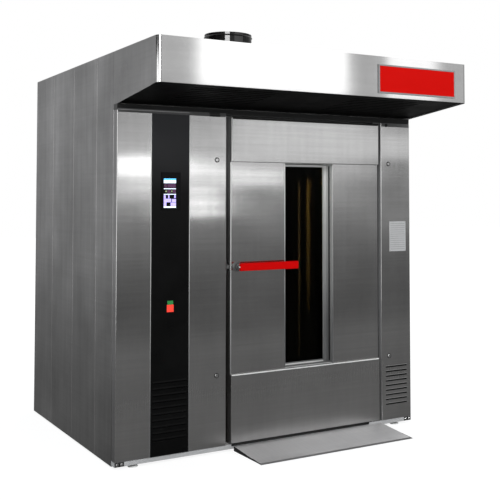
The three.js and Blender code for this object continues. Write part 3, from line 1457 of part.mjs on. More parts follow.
/** Large gear on the shaft, with lightening holes. */
function driveGear() {
  const circle = (x, y, r, n) => {
    const turns = series(n, 0, (2 * Math.PI) / n);
    return turns.map((a) => [x + r * Math.cos(a), y + r * Math.sin(a)]);
  };
  const holeCircle = GEAR_MODULE * GEAR_TEETH * 0.31;
  const lightening = series(6, 0, Math.PI / 3).map((a) =>
    circle(holeCircle * Math.cos(a), holeCircle * Math.sin(a), GEAR_MODULE * 3, 8),
  );
  const bore = circle(0, 0, SHAFT_RADIUS + FIT, 24);
  const shape = outline(gearOutline(GEAR_TEETH, 0, false), [bore, ...lightening]);
  return riseZ(shape, GEAR_Z, GEAR_Z + GEAR_FACE).translate([TURN_X, TURN_Y, 0]);
}

/** Pinion with its stub shaft, a gap between two teeth facing the large gear. */
function drivePinion() {
  const x = TURN_X + GEAR_DISTANCE;
  const phase = Math.PI + Math.PI / PINION_TEETH;
  const wheel = riseZ(outline(gearOutline(PINION_TEETH, phase, true)), GEAR_Z, GEAR_Z + GEAR_FACE);
  const stub = barZ(0, 0, 15, GEAR_Z + GEAR_FACE - 1, GEAR_Z + GEAR_FACE + 16);
  return join(wheel, stub).translate([x, TURN_Y, 0]);
}

/** Gearmotor over the pinion, on its two-legged stand. */
function gearmotor() {
  const x = TURN_X + GEAR_DISTANCE;
  const z = GEAR_Z + GEAR_FACE + 18;
  const reach = GEAR_MODULE * PINION_TEETH;
  const half = GEARBOX_REACH;
  const near = x - half * 0.66;
  const top = z + DRIVE_STAND + GEARBOX_HEIGHT;
  const box = block(near, x + half, TURN_Y - half, TURN_Y + half, z + DRIVE_STAND - 1, top);
  const stand = block(near, x + reach, TURN_Y - reach, TURN_Y + reach, z, z + DRIVE_STAND);
  const legs = [-1, 1].map((side) => {
    const a = TURN_Y + side * reach;
    const b = a - side * DRIVE_STAND;
    return block(x - half / 2, x + reach, Math.min(a, b), Math.max(a, b), ROOF_TOP + FIT, z + 1);
  });
  const motor = turnZ(
    x + half / 6,
    TURN_Y,
    [
      [0, top - 1],
      [DRIVE_MOTOR_RADIUS, top - 1],
      [DRIVE_MOTOR_RADIUS, top + DRIVE_MOTOR_HEIGHT * 0.85],
      [DRIVE_MOTOR_RADIUS * 0.85, top + DRIVE_MOTOR_HEIGHT],
      [0, top + DRIVE_MOTOR_HEIGHT],
    ],
    24,
  );
  return join(box, stand, ...legs, motor);
}

place("turntable", turntable(), "steel");
place("carousel_yoke", carouselYoke(), "steel");
place("drive_gear", driveGear(), "cast");
place("drive_pinion", drivePinion(), "cast");
place("gearmotor", gearmotor(), "blue");

// ---------------------------------------------------------------- air heating and circulation

/** Circulation wheel: back plate, backward-curved blades, inlet ring and the long shaft. */
function circulationFan() {
  const z0 = FAN_Z;
  const z1 = FAN_Z + FAN_HEIGHT;
  const plate = barZ(FAN_X, FAN_Y, FAN_RADIUS, z1 - 4, z1, 32);
  const shaft = barZ(FAN_X, FAN_Y, FAN_SHAFT_RADIUS, z0 + 20, ROOF_TOP + 20);
  const hub = barZ(FAN_X, FAN_Y, FAN_SHAFT_RADIUS + 24, z1 - 50, z1 - 1);
  const inlet = turnZ(
    FAN_X,
    FAN_Y,
    [
      [FAN_RADIUS * 0.62, z0],
      [FAN_RADIUS, z0],
      [FAN_RADIUS, z0 + 3],
      [FAN_RADIUS * 0.62, z0 + 3],
    ],
    40,
  );
  const steps = 4;
  const sweep = THREE.MathUtils.degToRad(38);
  const curve = (offset) =>
    series(steps, 0, 1 / (steps - 1)).map((s) => {
      const r = FAN_RADIUS * (0.6 + 0.37 * s);
      const angle = sweep * s + offset / r;
      return [r * Math.cos(angle), r * Math.sin(angle)];
    });
  const bladeShape = outline([...curve(-1.5), ...curve(1.5).reverse()]);
  const blades = series(FAN_BLADES, 0, 360 / FAN_BLADES).map((deg) =>
    riseZ(bladeShape, z0 + 1, z1 - 2).rotate([0, 0, deg]).translate([FAN_X, FAN_Y, 0]),
  );
  return join(plate, shaft, hub, inlet, ...blades);
}

/** Finned fan motor standing on the roof. */
function fanMotor() {
  const z0 = ROOF_TOP + FIT;
  const r = FAN_MOTOR_RADIUS;
  const h = FAN_MOTOR_HEIGHT;
  const bore = FAN_SHAFT_RADIUS + RUN;
  const flange = h * 0.06;
  const foot = cut(
    barZ(FAN_X, FAN_Y, FAN_MOTOR_FOOT, z0, z0 + flange, 24),
    barZ(FAN_X, FAN_Y, bore, z0 - 1, z0 + flange * 2),
  );
  const finPitch = (h * 0.68) / FAN_MOTOR_FINS;
  const fins = series(FAN_MOTOR_FINS, z0 + h * 0.22, finPitch).flatMap((z) => [
    [r, z],
    [r * 1.14, z + finPitch * 0.12],
    [r * 1.14, z + finPitch * 0.35],
    [r, z + finPitch * 0.47],
  ]);
  const body = turnZ(
    FAN_X,
    FAN_Y,
    [
      [bore, z0 + flange - 1],
      [r * 1.25, z0 + flange - 1],
      [r * 1.25, z0 + h * 0.13],
      [r, z0 + h * 0.17],
      ...fins,
      [r, z0 + h * 0.9],
      [r * 0.78, z0 + h],
      [0, z0 + h],
      [0, z0 + flange * 4],
      [bore, z0 + flange * 4],
    ],
    18,
  );
  return join(foot, body);
}

/** Bank of hairpin heating elements hung from their header plate. */
function heaterBank() {
  const x0 = HEAT_X0 + 80;
  const x1 = HEAT_X1 - 80;
  const yMid = FAN_Y;
  const first = yMid - ((HEATER_LOOPS - 1) * HEATER_PITCH) / 2;
  const last = first + (HEATER_LOOPS - 1) * HEATER_PITCH;
  const z0 = HEATER_LOW;
  const z1 = HEATER_TOP;
  const rim = HEATER_PITCH * 0.45;
  const header = block(x0 - rim, x1 + rim, first - rim, last + rim, z1 - 6, z1);
  const holes = block(x0 + rim, x1 - rim, first - rim / 2, last + rim / 2, z1 - 8, z1 + 1);
  const section = new THREE.Shape();
  section.absarc(0, 0, HEATER_TUBE_RADIUS, 0, 2 * Math.PI, false);
  const bend = (x1 - x0) / 2;
  const hairpin = new THREE.CurvePath();
  hairpin.add(new THREE.LineCurve3(new THREE.Vector3(x0, 0, z1 - 3), new THREE.Vector3(x0, 0, z0 + bend)));
  const arcSteps = 10;
  for (let i = 0; i < arcSteps; i += 1) {
    const point = (k) => {
      const angle = Math.PI + (Math.PI * k) / arcSteps;
      return new THREE.Vector3(x0 + bend + bend * Math.cos(angle), 0, z0 + bend + bend * Math.sin(angle));
    };
    hairpin.add(new THREE.LineCurve3(point(i), point(i + 1)));
  }
  hairpin.add(new THREE.LineCurve3(new THREE.Vector3(x1, 0, z0 + bend), new THREE.Vector3(x1, 0, z1 - 3)));
  const tube = new THREE.ExtrudeGeometry(section, { steps: 14, curveSegments: 3, extrudePath: hairpin });
  const loops = series(HEATER_LOOPS, first, HEATER_PITCH).map((y) => solid(tube).translate([0, y, 0]));
  return join(cut(header, holes), ...loops);
}

/** Steam generator: a cascade of troughs between two end plates. */
function steamGenerator() {
  const x0 = HEAT_X0 + STEAM_MARGIN;
  const x1 = HEAT_X1 - STEAM_MARGIN;
  const y0 = HEAT_Y0 + STEAM_MARGIN * 2;
  const y1 = HEAT_Y1 - STEAM_MARGIN * 2;
  const t = STEAM_WALL;
  const trough = outline([
    [x0, 0],
    [x1, 0],
    [x1, STEAM_TROUGH],
    [x1 - t, STEAM_TROUGH],
    [x1 - t, t],
    [x0 + t, t],
    [x0 + t, STEAM_TROUGH],
    [x0, STEAM_TROUGH],
  ]);
  const places = series(STEAM_TRAYS, STEAM_LOW, STEAM_PITCH);
  const trays = places.map((z) => runY(trough, y0, y1).translate([0, 0, z]));
  const top = STEAM_LOW + STEAM_TRAYS * STEAM_PITCH;
  const ends = [y0 - t, y1 - 1].map((y) => block(x0 - t, x1 + t, y, y + t + 1, FLOOR_Z + FIT, top));
  return join(ends[0], ends[1], ...trays);
}

place("circulation_fan", circulationFan(), "steel");
place("fan_motor", fanMotor(), "blue");
place("heater_bank", heaterBank(), "element");
place("steam_generator", steamGenerator(), "cast");

// ---------------------------------------------------------------- origin

const frontMost = badgeFront;
oven.position.y = -(frontMost + FACE_TO_BACK) / 2;

const assembly = new THREE.Group();
assembly.add(oven);

export default assembly;
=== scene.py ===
"""Looks of the rotating rack oven: finishes, small fittings, studio and camera.

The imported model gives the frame. Every piece is in metres and in its frame: x to the right,
y to the back, z up, with the front faces at y = -0.52835.
"""

from __future__ import annotations

import logging
import math
from collections.abc import Callable, Sequence
from dataclasses import dataclass, field, replace
from enum import Enum

import bmesh
import bpy
from mathutils import Matrix, Vector

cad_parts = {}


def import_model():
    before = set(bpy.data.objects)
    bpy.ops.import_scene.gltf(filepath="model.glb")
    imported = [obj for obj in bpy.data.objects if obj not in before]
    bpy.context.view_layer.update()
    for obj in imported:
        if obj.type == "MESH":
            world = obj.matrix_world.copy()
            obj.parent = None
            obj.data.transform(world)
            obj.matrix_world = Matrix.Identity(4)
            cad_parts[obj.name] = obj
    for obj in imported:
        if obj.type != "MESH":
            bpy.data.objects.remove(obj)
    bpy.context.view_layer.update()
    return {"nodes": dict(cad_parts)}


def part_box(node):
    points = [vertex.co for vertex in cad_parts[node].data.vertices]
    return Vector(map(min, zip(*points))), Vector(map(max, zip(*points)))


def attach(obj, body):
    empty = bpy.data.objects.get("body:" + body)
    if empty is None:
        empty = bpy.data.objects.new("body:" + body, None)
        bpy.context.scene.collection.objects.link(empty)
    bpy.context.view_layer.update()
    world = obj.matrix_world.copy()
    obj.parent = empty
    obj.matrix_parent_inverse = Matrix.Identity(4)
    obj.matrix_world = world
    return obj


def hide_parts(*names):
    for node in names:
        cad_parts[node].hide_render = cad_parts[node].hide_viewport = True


LOG = logging.getLogger("rack_oven")
FACE_Y = -0.52835  # front face of the door and the columns
PROUD = 0.0001  # how far a loose piece stands off the solid that it lies on
HALF_ROUND = range(0, 181, 30)  # angles of a half-round section, in degrees

Point = tuple[float, float, float]
Pair = tuple[float, float]
Rgb = tuple[float, float, float]
Socket = bpy.types.NodeSocket


class Axis(Enum):
    """Direction that a grain, a row or a turned piece follows."""

    X = 0
    Y = 1
    Z = 2

    def vector(self) -> Vector:
        """Unit vector of the direction."""
        return Vector([1.0 if i == self.value else 0.0 for i in range(3)])


class Body(Enum):
    """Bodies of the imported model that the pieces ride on."""

    CABINET = "cabinet"
    DOOR = "door"
    HANDLE = "handle"
    SERVICE_DOOR = "service_door"
    CAROUSEL = "carousel"


def grey(value: float) -> Rgb:
    """A neutral colour of that linear value."""
    return (value, value, value)


def faded(colour: Rgb, share: float) -> Rgb:
    """A colour with each of its values times a share."""
    return tuple(value * share for value in colour)


# ---------------------------------------------------------------- node graphs


@dataclass
class Graph:
    """A material's node tree, with short calls for the nodes that the finishes use."""

    tree: bpy.types.NodeTree

    def node(self, kind: str, **settings: object) -> bpy.types.Node:
        """Adds a node of that type, with these attributes."""
        made = self.tree.nodes.new(kind)
        for key, value in settings.items():
            setattr(made, key, value)
        return made

    def link(self, source: Socket, target: Socket) -> None:
        """Joins two sockets."""
        self.tree.links.new(source, target)

    def feed(self, value: object, target: Socket) -> None:
        """Joins a socket to another, or sets its value."""
        if isinstance(value, Socket):
            self.link(value, target)
        else:
            target.default_value = value

    def place(self) -> Socket:
        """The piece's own Object coordinates."""
        return self.node("ShaderNodeTexCoord").outputs["Object"]

    def parts(self, source: Socket) -> bpy.types.NodeOutputs:
        """The X, Y and Z of some coordinates."""
        made = self.node("ShaderNodeSeparateXYZ")
        self.link(source, made.inputs[0])
        return made.outputs

    def stretch(self, source: Socket, scale: Point) -> Socket:
        """Coordinates scaled along each axis."""
        mapping = self.node("ShaderNodeMapping")
        mapping.inputs["Scale"].default_value = scale
        self.link(source, mapping.inputs["Vector"])
        return mapping.outputs["Vector"]

    def noise(self, source: Socket, scale: float, detail: float = 3.0, rough: float = 0.55) -> Socket:
        """Noise value, around 0.5, on some coordinates."""
        made = self.node("ShaderNodeTexNoise")
        for name, value in (("Scale", scale), ("Detail", detail), ("Roughness", rough)):
            made.inputs[name].default_value = value
        self.link(source, made.inputs["Vector"])
        return made.outputs["Fac"]

    def spread(
        self, source: Socket, low: float, high: float, start: float = 0.3, end: float = 0.7
    ) -> Socket:
        """A value carried from start...end to low...high."""
        made = self.node("ShaderNodeMapRange", clamp=True)
        for name, value in (("From Min", start), ("From Max", end), ("To Min", low), ("To Max", high)):
            made.inputs[name].default_value = value
        self.link(source, made.inputs["Value"])
        return made.outputs["Result"]

    def math(self, operation: str, first: object, second: object = 0.0) -> Socket:
        """A sum of two values or sockets."""
        made = self.node("ShaderNodeMath", operation=operation)
        self.feed(first, made.inputs[0])
        self.feed(second, made.inputs[1])
        return made.outputs[0]

    def tint(self, share: Socket, low: Rgb, high: Rgb) -> Socket:
        """Colour between two colours by a share."""
        made = self.node("ShaderNodeMix", data_type="RGBA")
        made.inputs["A"].default_value = (*low, 1.0)
        made.inputs["B"].default_value = (*high, 1.0)
        self.link(share, made.inputs["Factor"])
        return made.outputs["Result"]

    def blend(self, share: object, low: Socket, high: object, mode: str = "MIX") -> Socket:
        """Mixes a colour socket with a second colour or socket.

        Args:
            share: how much of the second shows.
            low: the first colour.
            high: the second colour, or its socket.
            mode: Blender's blend type.

        Returns:
            The mixed colour.
        """
        made = self.node("ShaderNodeMix", data_type="RGBA", blend_type=mode)
        self.link(low, made.inputs["A"])
        self.feed(high if isinstance(high, Socket) else (*high, 1.0), made.inputs["B"])
        self.feed(share, made.inputs["Factor"])
        return made.outputs["Result"]

    def ramp(self, source: Socket, stops: Sequence[tuple[float, Rgb]]) -> Socket:
        """Colour from a ramp of places and their colours."""
        made = self.node("ShaderNodeValToRGB")
        band = made.color_ramp
        while len(band.elements) < len(stops):
            band.elements.new(0.5)
        for element, (at, colour) in zip(band.elements, stops):
            element.position = at
            element.color = (*colour, 1.0)
        self.link(source, made.inputs["Fac"])
        return made.outputs["Color"]

    def bump(self, height: Socket, depth: float, strength: float, under: Socket | None = None) -> Socket:
        """A normal from a height.

        Args:
            height: the height value.
            depth: metres that a height of 1 stands for.
            strength: share of the effect.
            under: a normal that this one is laid over.

        Returns:
            The normal.
        """
        made = self.node("ShaderNodeBump")
        made.inputs["Strength"].default_value = strength
        made.inputs["Distance"].default_value = depth
        self.link(height, made.inputs["Height"])
        if under is not None:
            self.link(under, made.inputs["Normal"])
        return made.outputs["Normal"]


@dataclass(frozen=True)
class Finish:
    """Base of all finishes: makes its material once and hands it out."""

    name: str

    def dress(self, graph: Graph, shader: bpy.types.Node) -> None:
        """Wires the shader; each finish has its own."""
        raise NotImplementedError

    def material(self) -> bpy.types.Material:
        """The material, made on the first call."""
        made = bpy.data.materials.get(self.name)
        if made is None:
            made = bpy.data.materials.new(self.name)
            made.use_nodes = True
            self.dress(Graph(made.node_tree), made.node_tree.nodes["Principled BSDF"])
        return made


@dataclass(frozen=True)
class BrushedSteel(Finish):
    """Stainless sheet with its grain, soft waviness and handling marks, and painted shade: its colour goes
    from the upper colour to a darker one towards the floor.
    """

    colour: Rgb = (0.6, 0.6, 0.6)
    painted_shade_colour: Rgb | None = None  # painted shade: colour at the lower height, or the same as colour
    shade_low_z: float = 0.1
    shade_high_z: float = 1.75
    grain: Axis = Axis.Z
    roughness: float = 0.15
    anisotropy: float = 0.85
    streak: float = 0.025
    lines: float = 0.04
    smear: float = 0.2
    metallic: float = 1.0
    foot_rough: float = 0.0

    def lay(self, along: float, across: float) -> Point:
        """Three values, one along the grain and the other two across it."""
        return tuple(along if axis is self.grain else across for axis in Axis)

    def dress(self, graph: Graph, shader: bpy.types.Node) -> None:
        """Grain from stretched noise in colour, roughness and bump, and the painted shade by height in the
        colour.
        """
        place = graph.place()
        grain = graph.noise(graph.stretch(place, self.lay(4.0, 900.0)), 1.0, 4.0, 0.7)
        lines = graph.noise(graph.stretch(place, self.lay(90.0, 1.3)), 1.0, 3.0, 0.6)
        streaks = graph.noise(graph.stretch(place, self.lay(1.2, 26.0)), 1.0, 3.0, 0.6)
        clouds = graph.noise(place, 2.2, 4.0, 0.6)
        height = graph.parts(place)["Z"]
        # painted shade: share of the upper colour, from the lower height up to the upper one
        painted_fall = graph.spread(height, 0.0, 1.0, self.shade_low_z, self.shade_high_z)
        base = graph.tint(painted_fall, self.painted_shade_colour or self.colour, self.colour)
        shade = graph.spread(grain, 1.0 - self.streak, 1.0 + self.streak)
        for source, below, above in (
            (streaks, self.streak, self.streak),
            (lines, self.lines, self.lines),
            (clouds, self.smear * 0.4, self.smear * 0.3),
        ):
            shade = graph.math("MULTIPLY", shade, graph.spread(source, 1.0 - below, 1.0 + above))
        neutral = graph.node("ShaderNodeCombineColor")
        for name in ("Red", "Green", "Blue"):
            graph.link(shade, neutral.inputs[name])
        graph.link(graph.blend(1.0, base, neutral.outputs[0], "MULTIPLY"), shader.inputs["Base Color"])
        rough = graph.math(
            "ADD",
            graph.spread(grain, self.roughness - 0.02, self.roughness + 0.04),
            graph.spread(clouds, -0.02, self.smear * 0.16),
        )
        rough = graph.math("ADD", rough, graph.spread(height, self.foot_rough, 0.0, 0.2, 0.6))
        graph.link(rough, shader.inputs["Roughness"])
        shader.inputs["Metallic"].default_value = self.metallic
        shader.inputs["Anisotropic"].default_value = self.anisotropy
        tangent = graph.node("ShaderNodeCombineXYZ")
        for target, value in zip(tangent.inputs, self.lay(0.02, 1.0)):
            target.default_value = value
        graph.link(tangent.outputs[0], shader.inputs["Tangent"])
        wave = graph.noise(graph.stretch(place, (1.6, 1.6, 0.9)), 1.0, 1.0)
        normal = graph.bump(wave, 0.006, 0.3, graph.bump(grain, 0.00006, 0.35))
        graph.link(normal, shader.inputs["Normal"])


@dataclass(frozen=True)
class Coated(Finish):
    """Painted, powder-coated or moulded surface with a fine texture, dust and rubbed places, and where given
    a painted sheen towards the top.
    """

    colour: Rgb = (0.5, 0.5, 0.5)
    worn: Rgb = (0.4, 0.4, 0.4)
    roughness: float = 0.4
    metallic: float = 0.0
    specular: float = 0.5
    grit: float = 420.0
    grit_depth: float = 0.00008
    patch: float = 6.0
    patch_share: float = 0.35
    painted_sheen: Rgb | None = None  # painted sheen: a lighter colour towards the top, where given
    painted_sheen_z: Pair = (1.5, 1.95)

    def dress(self, graph: Graph, shader: bpy.types.Node) -> None:
        """Orange peel bump, patches of dust, a touch of wear and the painted sheen."""
        place = graph.place()
        peel = graph.noise(place, self.grit, 2.0)
        patches = graph.noise(place, self.patch, 5.0, 0.65)
        share = graph.spread(patches, 0.0, self.patch_share, 0.42, 0.72)
        colour = graph.tint(share, self.colour, self.worn)
        if self.painted_sheen is not None:
            # painted sheen: lighter towards the top
            height = graph.parts(place)["Z"]
            colour = graph.blend(graph.spread(height, 0.0, 1.0, *self.painted_sheen_z), colour, self.painted_sheen)
        graph.link(colour, shader.inputs["Base Color"])
        rough = graph.spread(patches, self.roughness - 0.04, self.roughness + 0.14)
        graph.link(rough, shader.inputs["Roughness"])
        shader.inputs["Metallic"].default_value = self.metallic
        shader.inputs["Specular IOR Level"].default_value = self.specular
        graph.link(graph.bump(peel, self.grit_depth, 0.6), shader.inputs["Normal"])


@dataclass(frozen=True)
class SmokedGlass(Finish):
    """Tempered oven glass with a bronze body and a film of baking dust."""

    colour: Rgb = (0.22, 0.19, 0.13)

    def dress(self, graph: Graph, shader: bpy.types.Node) -> None:
        """Clear transmission with smears in its roughness."""
        film = graph.noise(graph.stretch(graph.place(), (3.0, 3.0, 1.0)), 2.0, 5.0, 0.7)
        graph.link(graph.spread(film, 0.015, 0.09), shader.inputs["Roughness"])
        tint = graph.tint(graph.spread(film, 0.0, 1.0), self.colour, faded(self.colour, 0.8))
        graph.link(tint, shader.inputs["Base Color"])
        shader.inputs["Specular IOR Level"].default_value = 0.05
        shader.inputs["Transmission Weight"].default_value = 1.0
        shader.inputs["IOR"].default_value = 1.1


@dataclass(frozen=True)
class Glow(Finish):
    """Lit plastic or glass with uneven brightness."""

    colour: Rgb = (1.0, 1.0, 1.0)
    strength: float = 1.0

    def dress(self, graph: Graph, shader: bpy.types.Node) -> None:
        """Emission that varies a little over its face."""
        spots = graph.spread(graph.noise(graph.place(), 160.0, 2.0), 0.0, 1.0)
        colour = graph.tint(spots, self.colour, faded(self.colour, 0.82))
        graph.link(colour, shader.inputs["Base Color"])
        graph.link(colour, shader.inputs["Emission Color"])
        shader.inputs["Emission Strength"].default_value = self.strength
        shader.inputs["Roughness"].default_value = 0.25


@dataclass(frozen=True)
class Wool(Finish):
    """Mineral wool slabs in their fibres."""

    colour: Rgb = (0.52, 0.42, 0.2)

    def dress(self, graph: Graph, shader: bpy.types.Node) -> None:
        """Matted fibre colour and bump."""
        mat = graph.noise(graph.stretch(graph.place(), (60.0, 60.0, 240.0)), 1.0, 6.0, 0.7)
        colour = graph.tint(graph.spread(mat, 0.0, 1.0), faded(self.colour, 0.55), self.colour)
        graph.link(colour, shader.inputs["Base Color"])
        shader.inputs["Roughness"].default_value = 0.95
        graph.link(graph.bump(mat, 0.004, 0.8), shader.inputs["Normal"])


class Finishes:
    """All the finishes of the oven."""

    # painted shade: a little darker towards the floor
    FRONT = BrushedSteel("front_steel", painted_shade_colour=(0.55, 0.545, 0.54), foot_rough=0.16)
    SIDE = BrushedSteel("side_steel", (0.33, 0.33, 0.335), grey(0.3), roughness=0.3, streak=0.1, smear=0.5)
    # painted shade: a darker copy of the steel for the side faces of folded shells, and for the rail's hem
    SHADED_CHEEK = BrushedSteel("cheek_steel_painted_shade", (0.36, 0.36, 0.365), roughness=0.3, streak=0.06, smear=0.5)
    HOOD = BrushedSteel("hood_steel", grain=Axis.X, roughness=0.11, anisotropy=0.6, lines=0.008)
    # painted highlight: a brighter steel for beads, hems and tips, as edges that catch the light
    EDGE = BrushedSteel("edge_steel", (0.75, 0.75, 0.74), grey(0.7), streak=0.03)
    PALE = BrushedSteel("plate_steel", (0.62, 0.62, 0.63), (0.6, 0.59, 0.6), grain=Axis.X, roughness=0.38)
    SOCLE = BrushedSteel("socle_steel", grey(0.5), grain=Axis.X, roughness=0.45, metallic=0.2)
    # painted shadow: the top rail and the strips at the column heads are dark as in the hood's shadow
    SHADED_RAIL = BrushedSteel("rail_steel_painted_shadow", grey(0.11), grain=Axis.X, roughness=0.4, metallic=0.6)
    RAMP = BrushedSteel("ramp_steel", (0.68, 0.68, 0.69), grain=Axis.X, roughness=0.4)
    # painted light and shade: a dull steel, light near the top and dark lower down
    REVEAL = BrushedSteel(
        "reveal_steel", (0.75, 0.75, 0.73), grey(0.2), 0.7, 1.75, roughness=0.4, metallic=0.3, lines=0.01
    )
    LIP = BrushedSteel(
        "louvre_lip_steel", grey(0.33), grey(0.3), grain=Axis.X, roughness=0.4, lines=0.01
    )
    # painted highlight and shade: bright near the top, falling to dark towards the floor
    ROLLED = BrushedSteel(
        "rolled_edge_steel", (0.62, 0.62, 0.6), grey(0.13), 0.35, 1.65,
        roughness=0.5, anisotropy=0.2, lines=0.01, metallic=0.15,
    )
    # painted light: a dull grey copy of the steel that shows the right column's left return lit; on the badge
    # frame it is the frame's own grey
    RETURN = BrushedSteel(
        "return_steel", grey(0.26), grey(0.2), roughness=0.55, anisotropy=0.2, metallic=0.2
    )
    # painted highlight: a pale white coat for steel ledges, sills and edges that catch the light
    PAINTED_GLINT = Coated("painted_glint_edge", (0.8, 0.8, 0.78), (0.6, 0.6, 0.58), 0.45, 0.2, grit=300.0, patch=9.0)
    # painted shade: dull dark steel that makes the lever and rose read as the shadow round the handle's
    # pivot; also on latch and hinge brackets
    SPINDLE = BrushedSteel(
        "spindle_steel", grey(0.14), grey(0.1), roughness=0.45, anisotropy=0.0, metallic=0.5
    )
    # painted reflection: warm amber light on the outlet lips, fading to dark lower down
    OUTLET = BrushedSteel(
        "outlet_steel", (0.62, 0.6, 0.35), (0.2, 0.17, 0.1), 0.6, 1.45,
        roughness=0.5, anisotropy=0.2, metallic=0.2,
    )
    # painted shade: dark steel in the recessed gap beside the door
    SHADED_JAMB = BrushedSteel("jamb_steel_painted_shade", grey(0.2), (0.12, 0.115, 0.11), roughness=0.35)
    LINER = BrushedSteel("liner_steel", (0.24, 0.2, 0.15), (0.17, 0.14, 0.1), roughness=0.34, smear=0.8)
    # painted reflection: near-black steel as the dark surroundings the polished flue mirrors
    FLUE = BrushedSteel("flue_steel", grey(0.035), roughness=0.12, anisotropy=0.2)
    BOLT = BrushedSteel("bolt_steel", grey(0.6), grey(0.55), roughness=0.24, anisotropy=0.0, streak=0.1)
    # painted shade: the canopy's underside is near black as in the shade under it
    UNDERSIDE = Coated("hood_underside_painted_shade", grey(0.0015), (0.006, 0.005, 0.0045), 0.5, specular=0.08)
    # painted sheen: the black panel is lighter towards its top
    BLACK = Coated(
        "black_panel_coat", grey(0.0028), grey(0.005), 0.3, specular=0.1, painted_sheen=(0.034, 0.034, 0.036)
    )
    BEZEL = Coated(
        "bezel_gloss", (0.0015, 0.0015, 0.002), grey(0.003), 0.2, specular=0.08, grit_depth=0.00001
    )
    RED_GRIP = Coated("handle_red_coat", (0.56, 0.001, 0.001), (0.46, 0.001, 0.001), 0.45, specular=0.03)
    RED_BADGE = Coated(
        "badge_red_enamel", (0.58, 0.0025, 0.001), (0.5, 0.0025, 0.001), 0.4, specular=0.03, patch_share=0.2
    )
    # black rubber for seals, lips, rings and wires, and also painted shadow at the door head, along the rail,
    # under the window head and under the ramp
    GASKET_AND_SHADE_BLACK = Coated("gasket_and_shade_black", grey(0.008), (0.016, 0.015, 0.014), 0.6, specular=0.3, grit=900.0)
    RUBBER = Coated("seal_rubber", (0.06, 0.03, 0.024), (0.1, 0.08, 0.07), 0.75, grit=900.0)
    CAST = Coated(
        "cast_iron_paint", (0.09, 0.095, 0.1), (0.05, 0.045, 0.04), 0.62, 0.4, grit=300.0, grit_depth=0.0004
    )
    MOTOR = Coated("motor_blue_paint", (0.025, 0.07, 0.16), (0.05, 0.06, 0.07), 0.45, grit=380.0)
    ELEMENT = Coated("element_oxide", (0.1, 0.075, 0.06), (0.18, 0.1, 0.06), 0.5, 0.7, grit=700.0, patch=22.0)
    SWITCH = Coated("switchgear_plastic", (0.5, 0.5, 0.48), (0.35, 0.35, 0.34), 0.45, patch=14.0)
    SWITCH_DARK = Coated("switchgear_dark", (0.04, 0.042, 0.045), grey(0.08), 0.5)
    LABEL = Coated("bare_plate", grey(0.52), grey(0.42), 0.4, 0.3, grit=260.0, patch=30.0)
    LABEL_RULE = Coated("bare_plate_rule", grey(0.2), grey(0.3), 0.5)
    DARK = Coated("shadow_gap", grey(0.01), (0.02, 0.02, 0.018), 0.7)
    GLASS = SmokedGlass("oven_glass")
    LAMP = Glow("lamp_glass", (1.0, 0.62, 0.25), 0.8)
    WOOL = Wool("mineral_wool")
    SCREEN = Glow("screen_dark", (0.01, 0.012, 0.03), 0.3)
    SCREEN_WHITE = Glow("screen_white", (0.75, 0.85, 1.0))
    SCREEN_LILAC = Glow("screen_lilac", (0.42, 0.36, 0.85))
    SCREEN_WINE = Glow("screen_wine", (0.05, 0.008, 0.05), 0.6)
    SCREEN_CYAN = Glow("screen_cyan", (0.1, 0.5, 0.9))
    SCREEN_OLIVE = Glow("screen_olive", (0.22, 0.25, 0.14), 0.9)
    PILOT_GREEN = Glow("pilot_green", (0.02, 0.17, 0.04), 0.5)
    PILOT_RED = Glow("pilot_red", (0.8, 0.045, 0.025), 0.6)


@dataclass(frozen=True)
class Fit:
    """How a piece belongs to the oven: the body it rides on, its finish and the record's slot."""

    body: Body
    finish: Finish
    slot: str


class Fits:
    """The fits that several pieces share."""

    BOLT = Fit(Body.CABINET, Finishes.BOLT, "pale_steel")
    # the seal fits carry both real seals and black strips of painted shadow
    SEAL_AND_SHADOW = Fit(Body.CABINET, Finishes.GASKET_AND_SHADE_BLACK, "seal")
    EDGE = Fit(Body.CABINET, Finishes.EDGE, "pale_steel")
    DOOR_BOLT = Fit(Body.DOOR, Finishes.BOLT, "pale_steel")
    DOOR_SEAL_AND_SHADOW = Fit(Body.DOOR, Finishes.GASKET_AND_SHADE_BLACK, "seal")
    DOOR_PAINTED_GLINT = Fit(Body.DOOR, Finishes.PAINTED_GLINT, "pale_steel")
    DOOR_ROLLED = Fit(Body.DOOR, Finishes.ROLLED, "pale_steel")
    GRIP = Fit(Body.HANDLE, Finishes.RED_GRIP, "handle_red")


# ---------------------------------------------------------------- mesh making


def add(name: str, data: bpy.types.ID) -> bpy.types.Object:
    """A new object in the scene."""
    made = bpy.data.objects.new(name, data)
    bpy.context.scene.collection.objects.link(made)
    return made


def emptied(mesh: bmesh.types.BMesh, name: str) -> bpy.types.Mesh:
    """A working mesh as mesh data of that name; the working mesh is freed."""
    data = bpy.data.meshes.new(name)
    mesh.to_mesh(data)
    mesh.free()
    return data


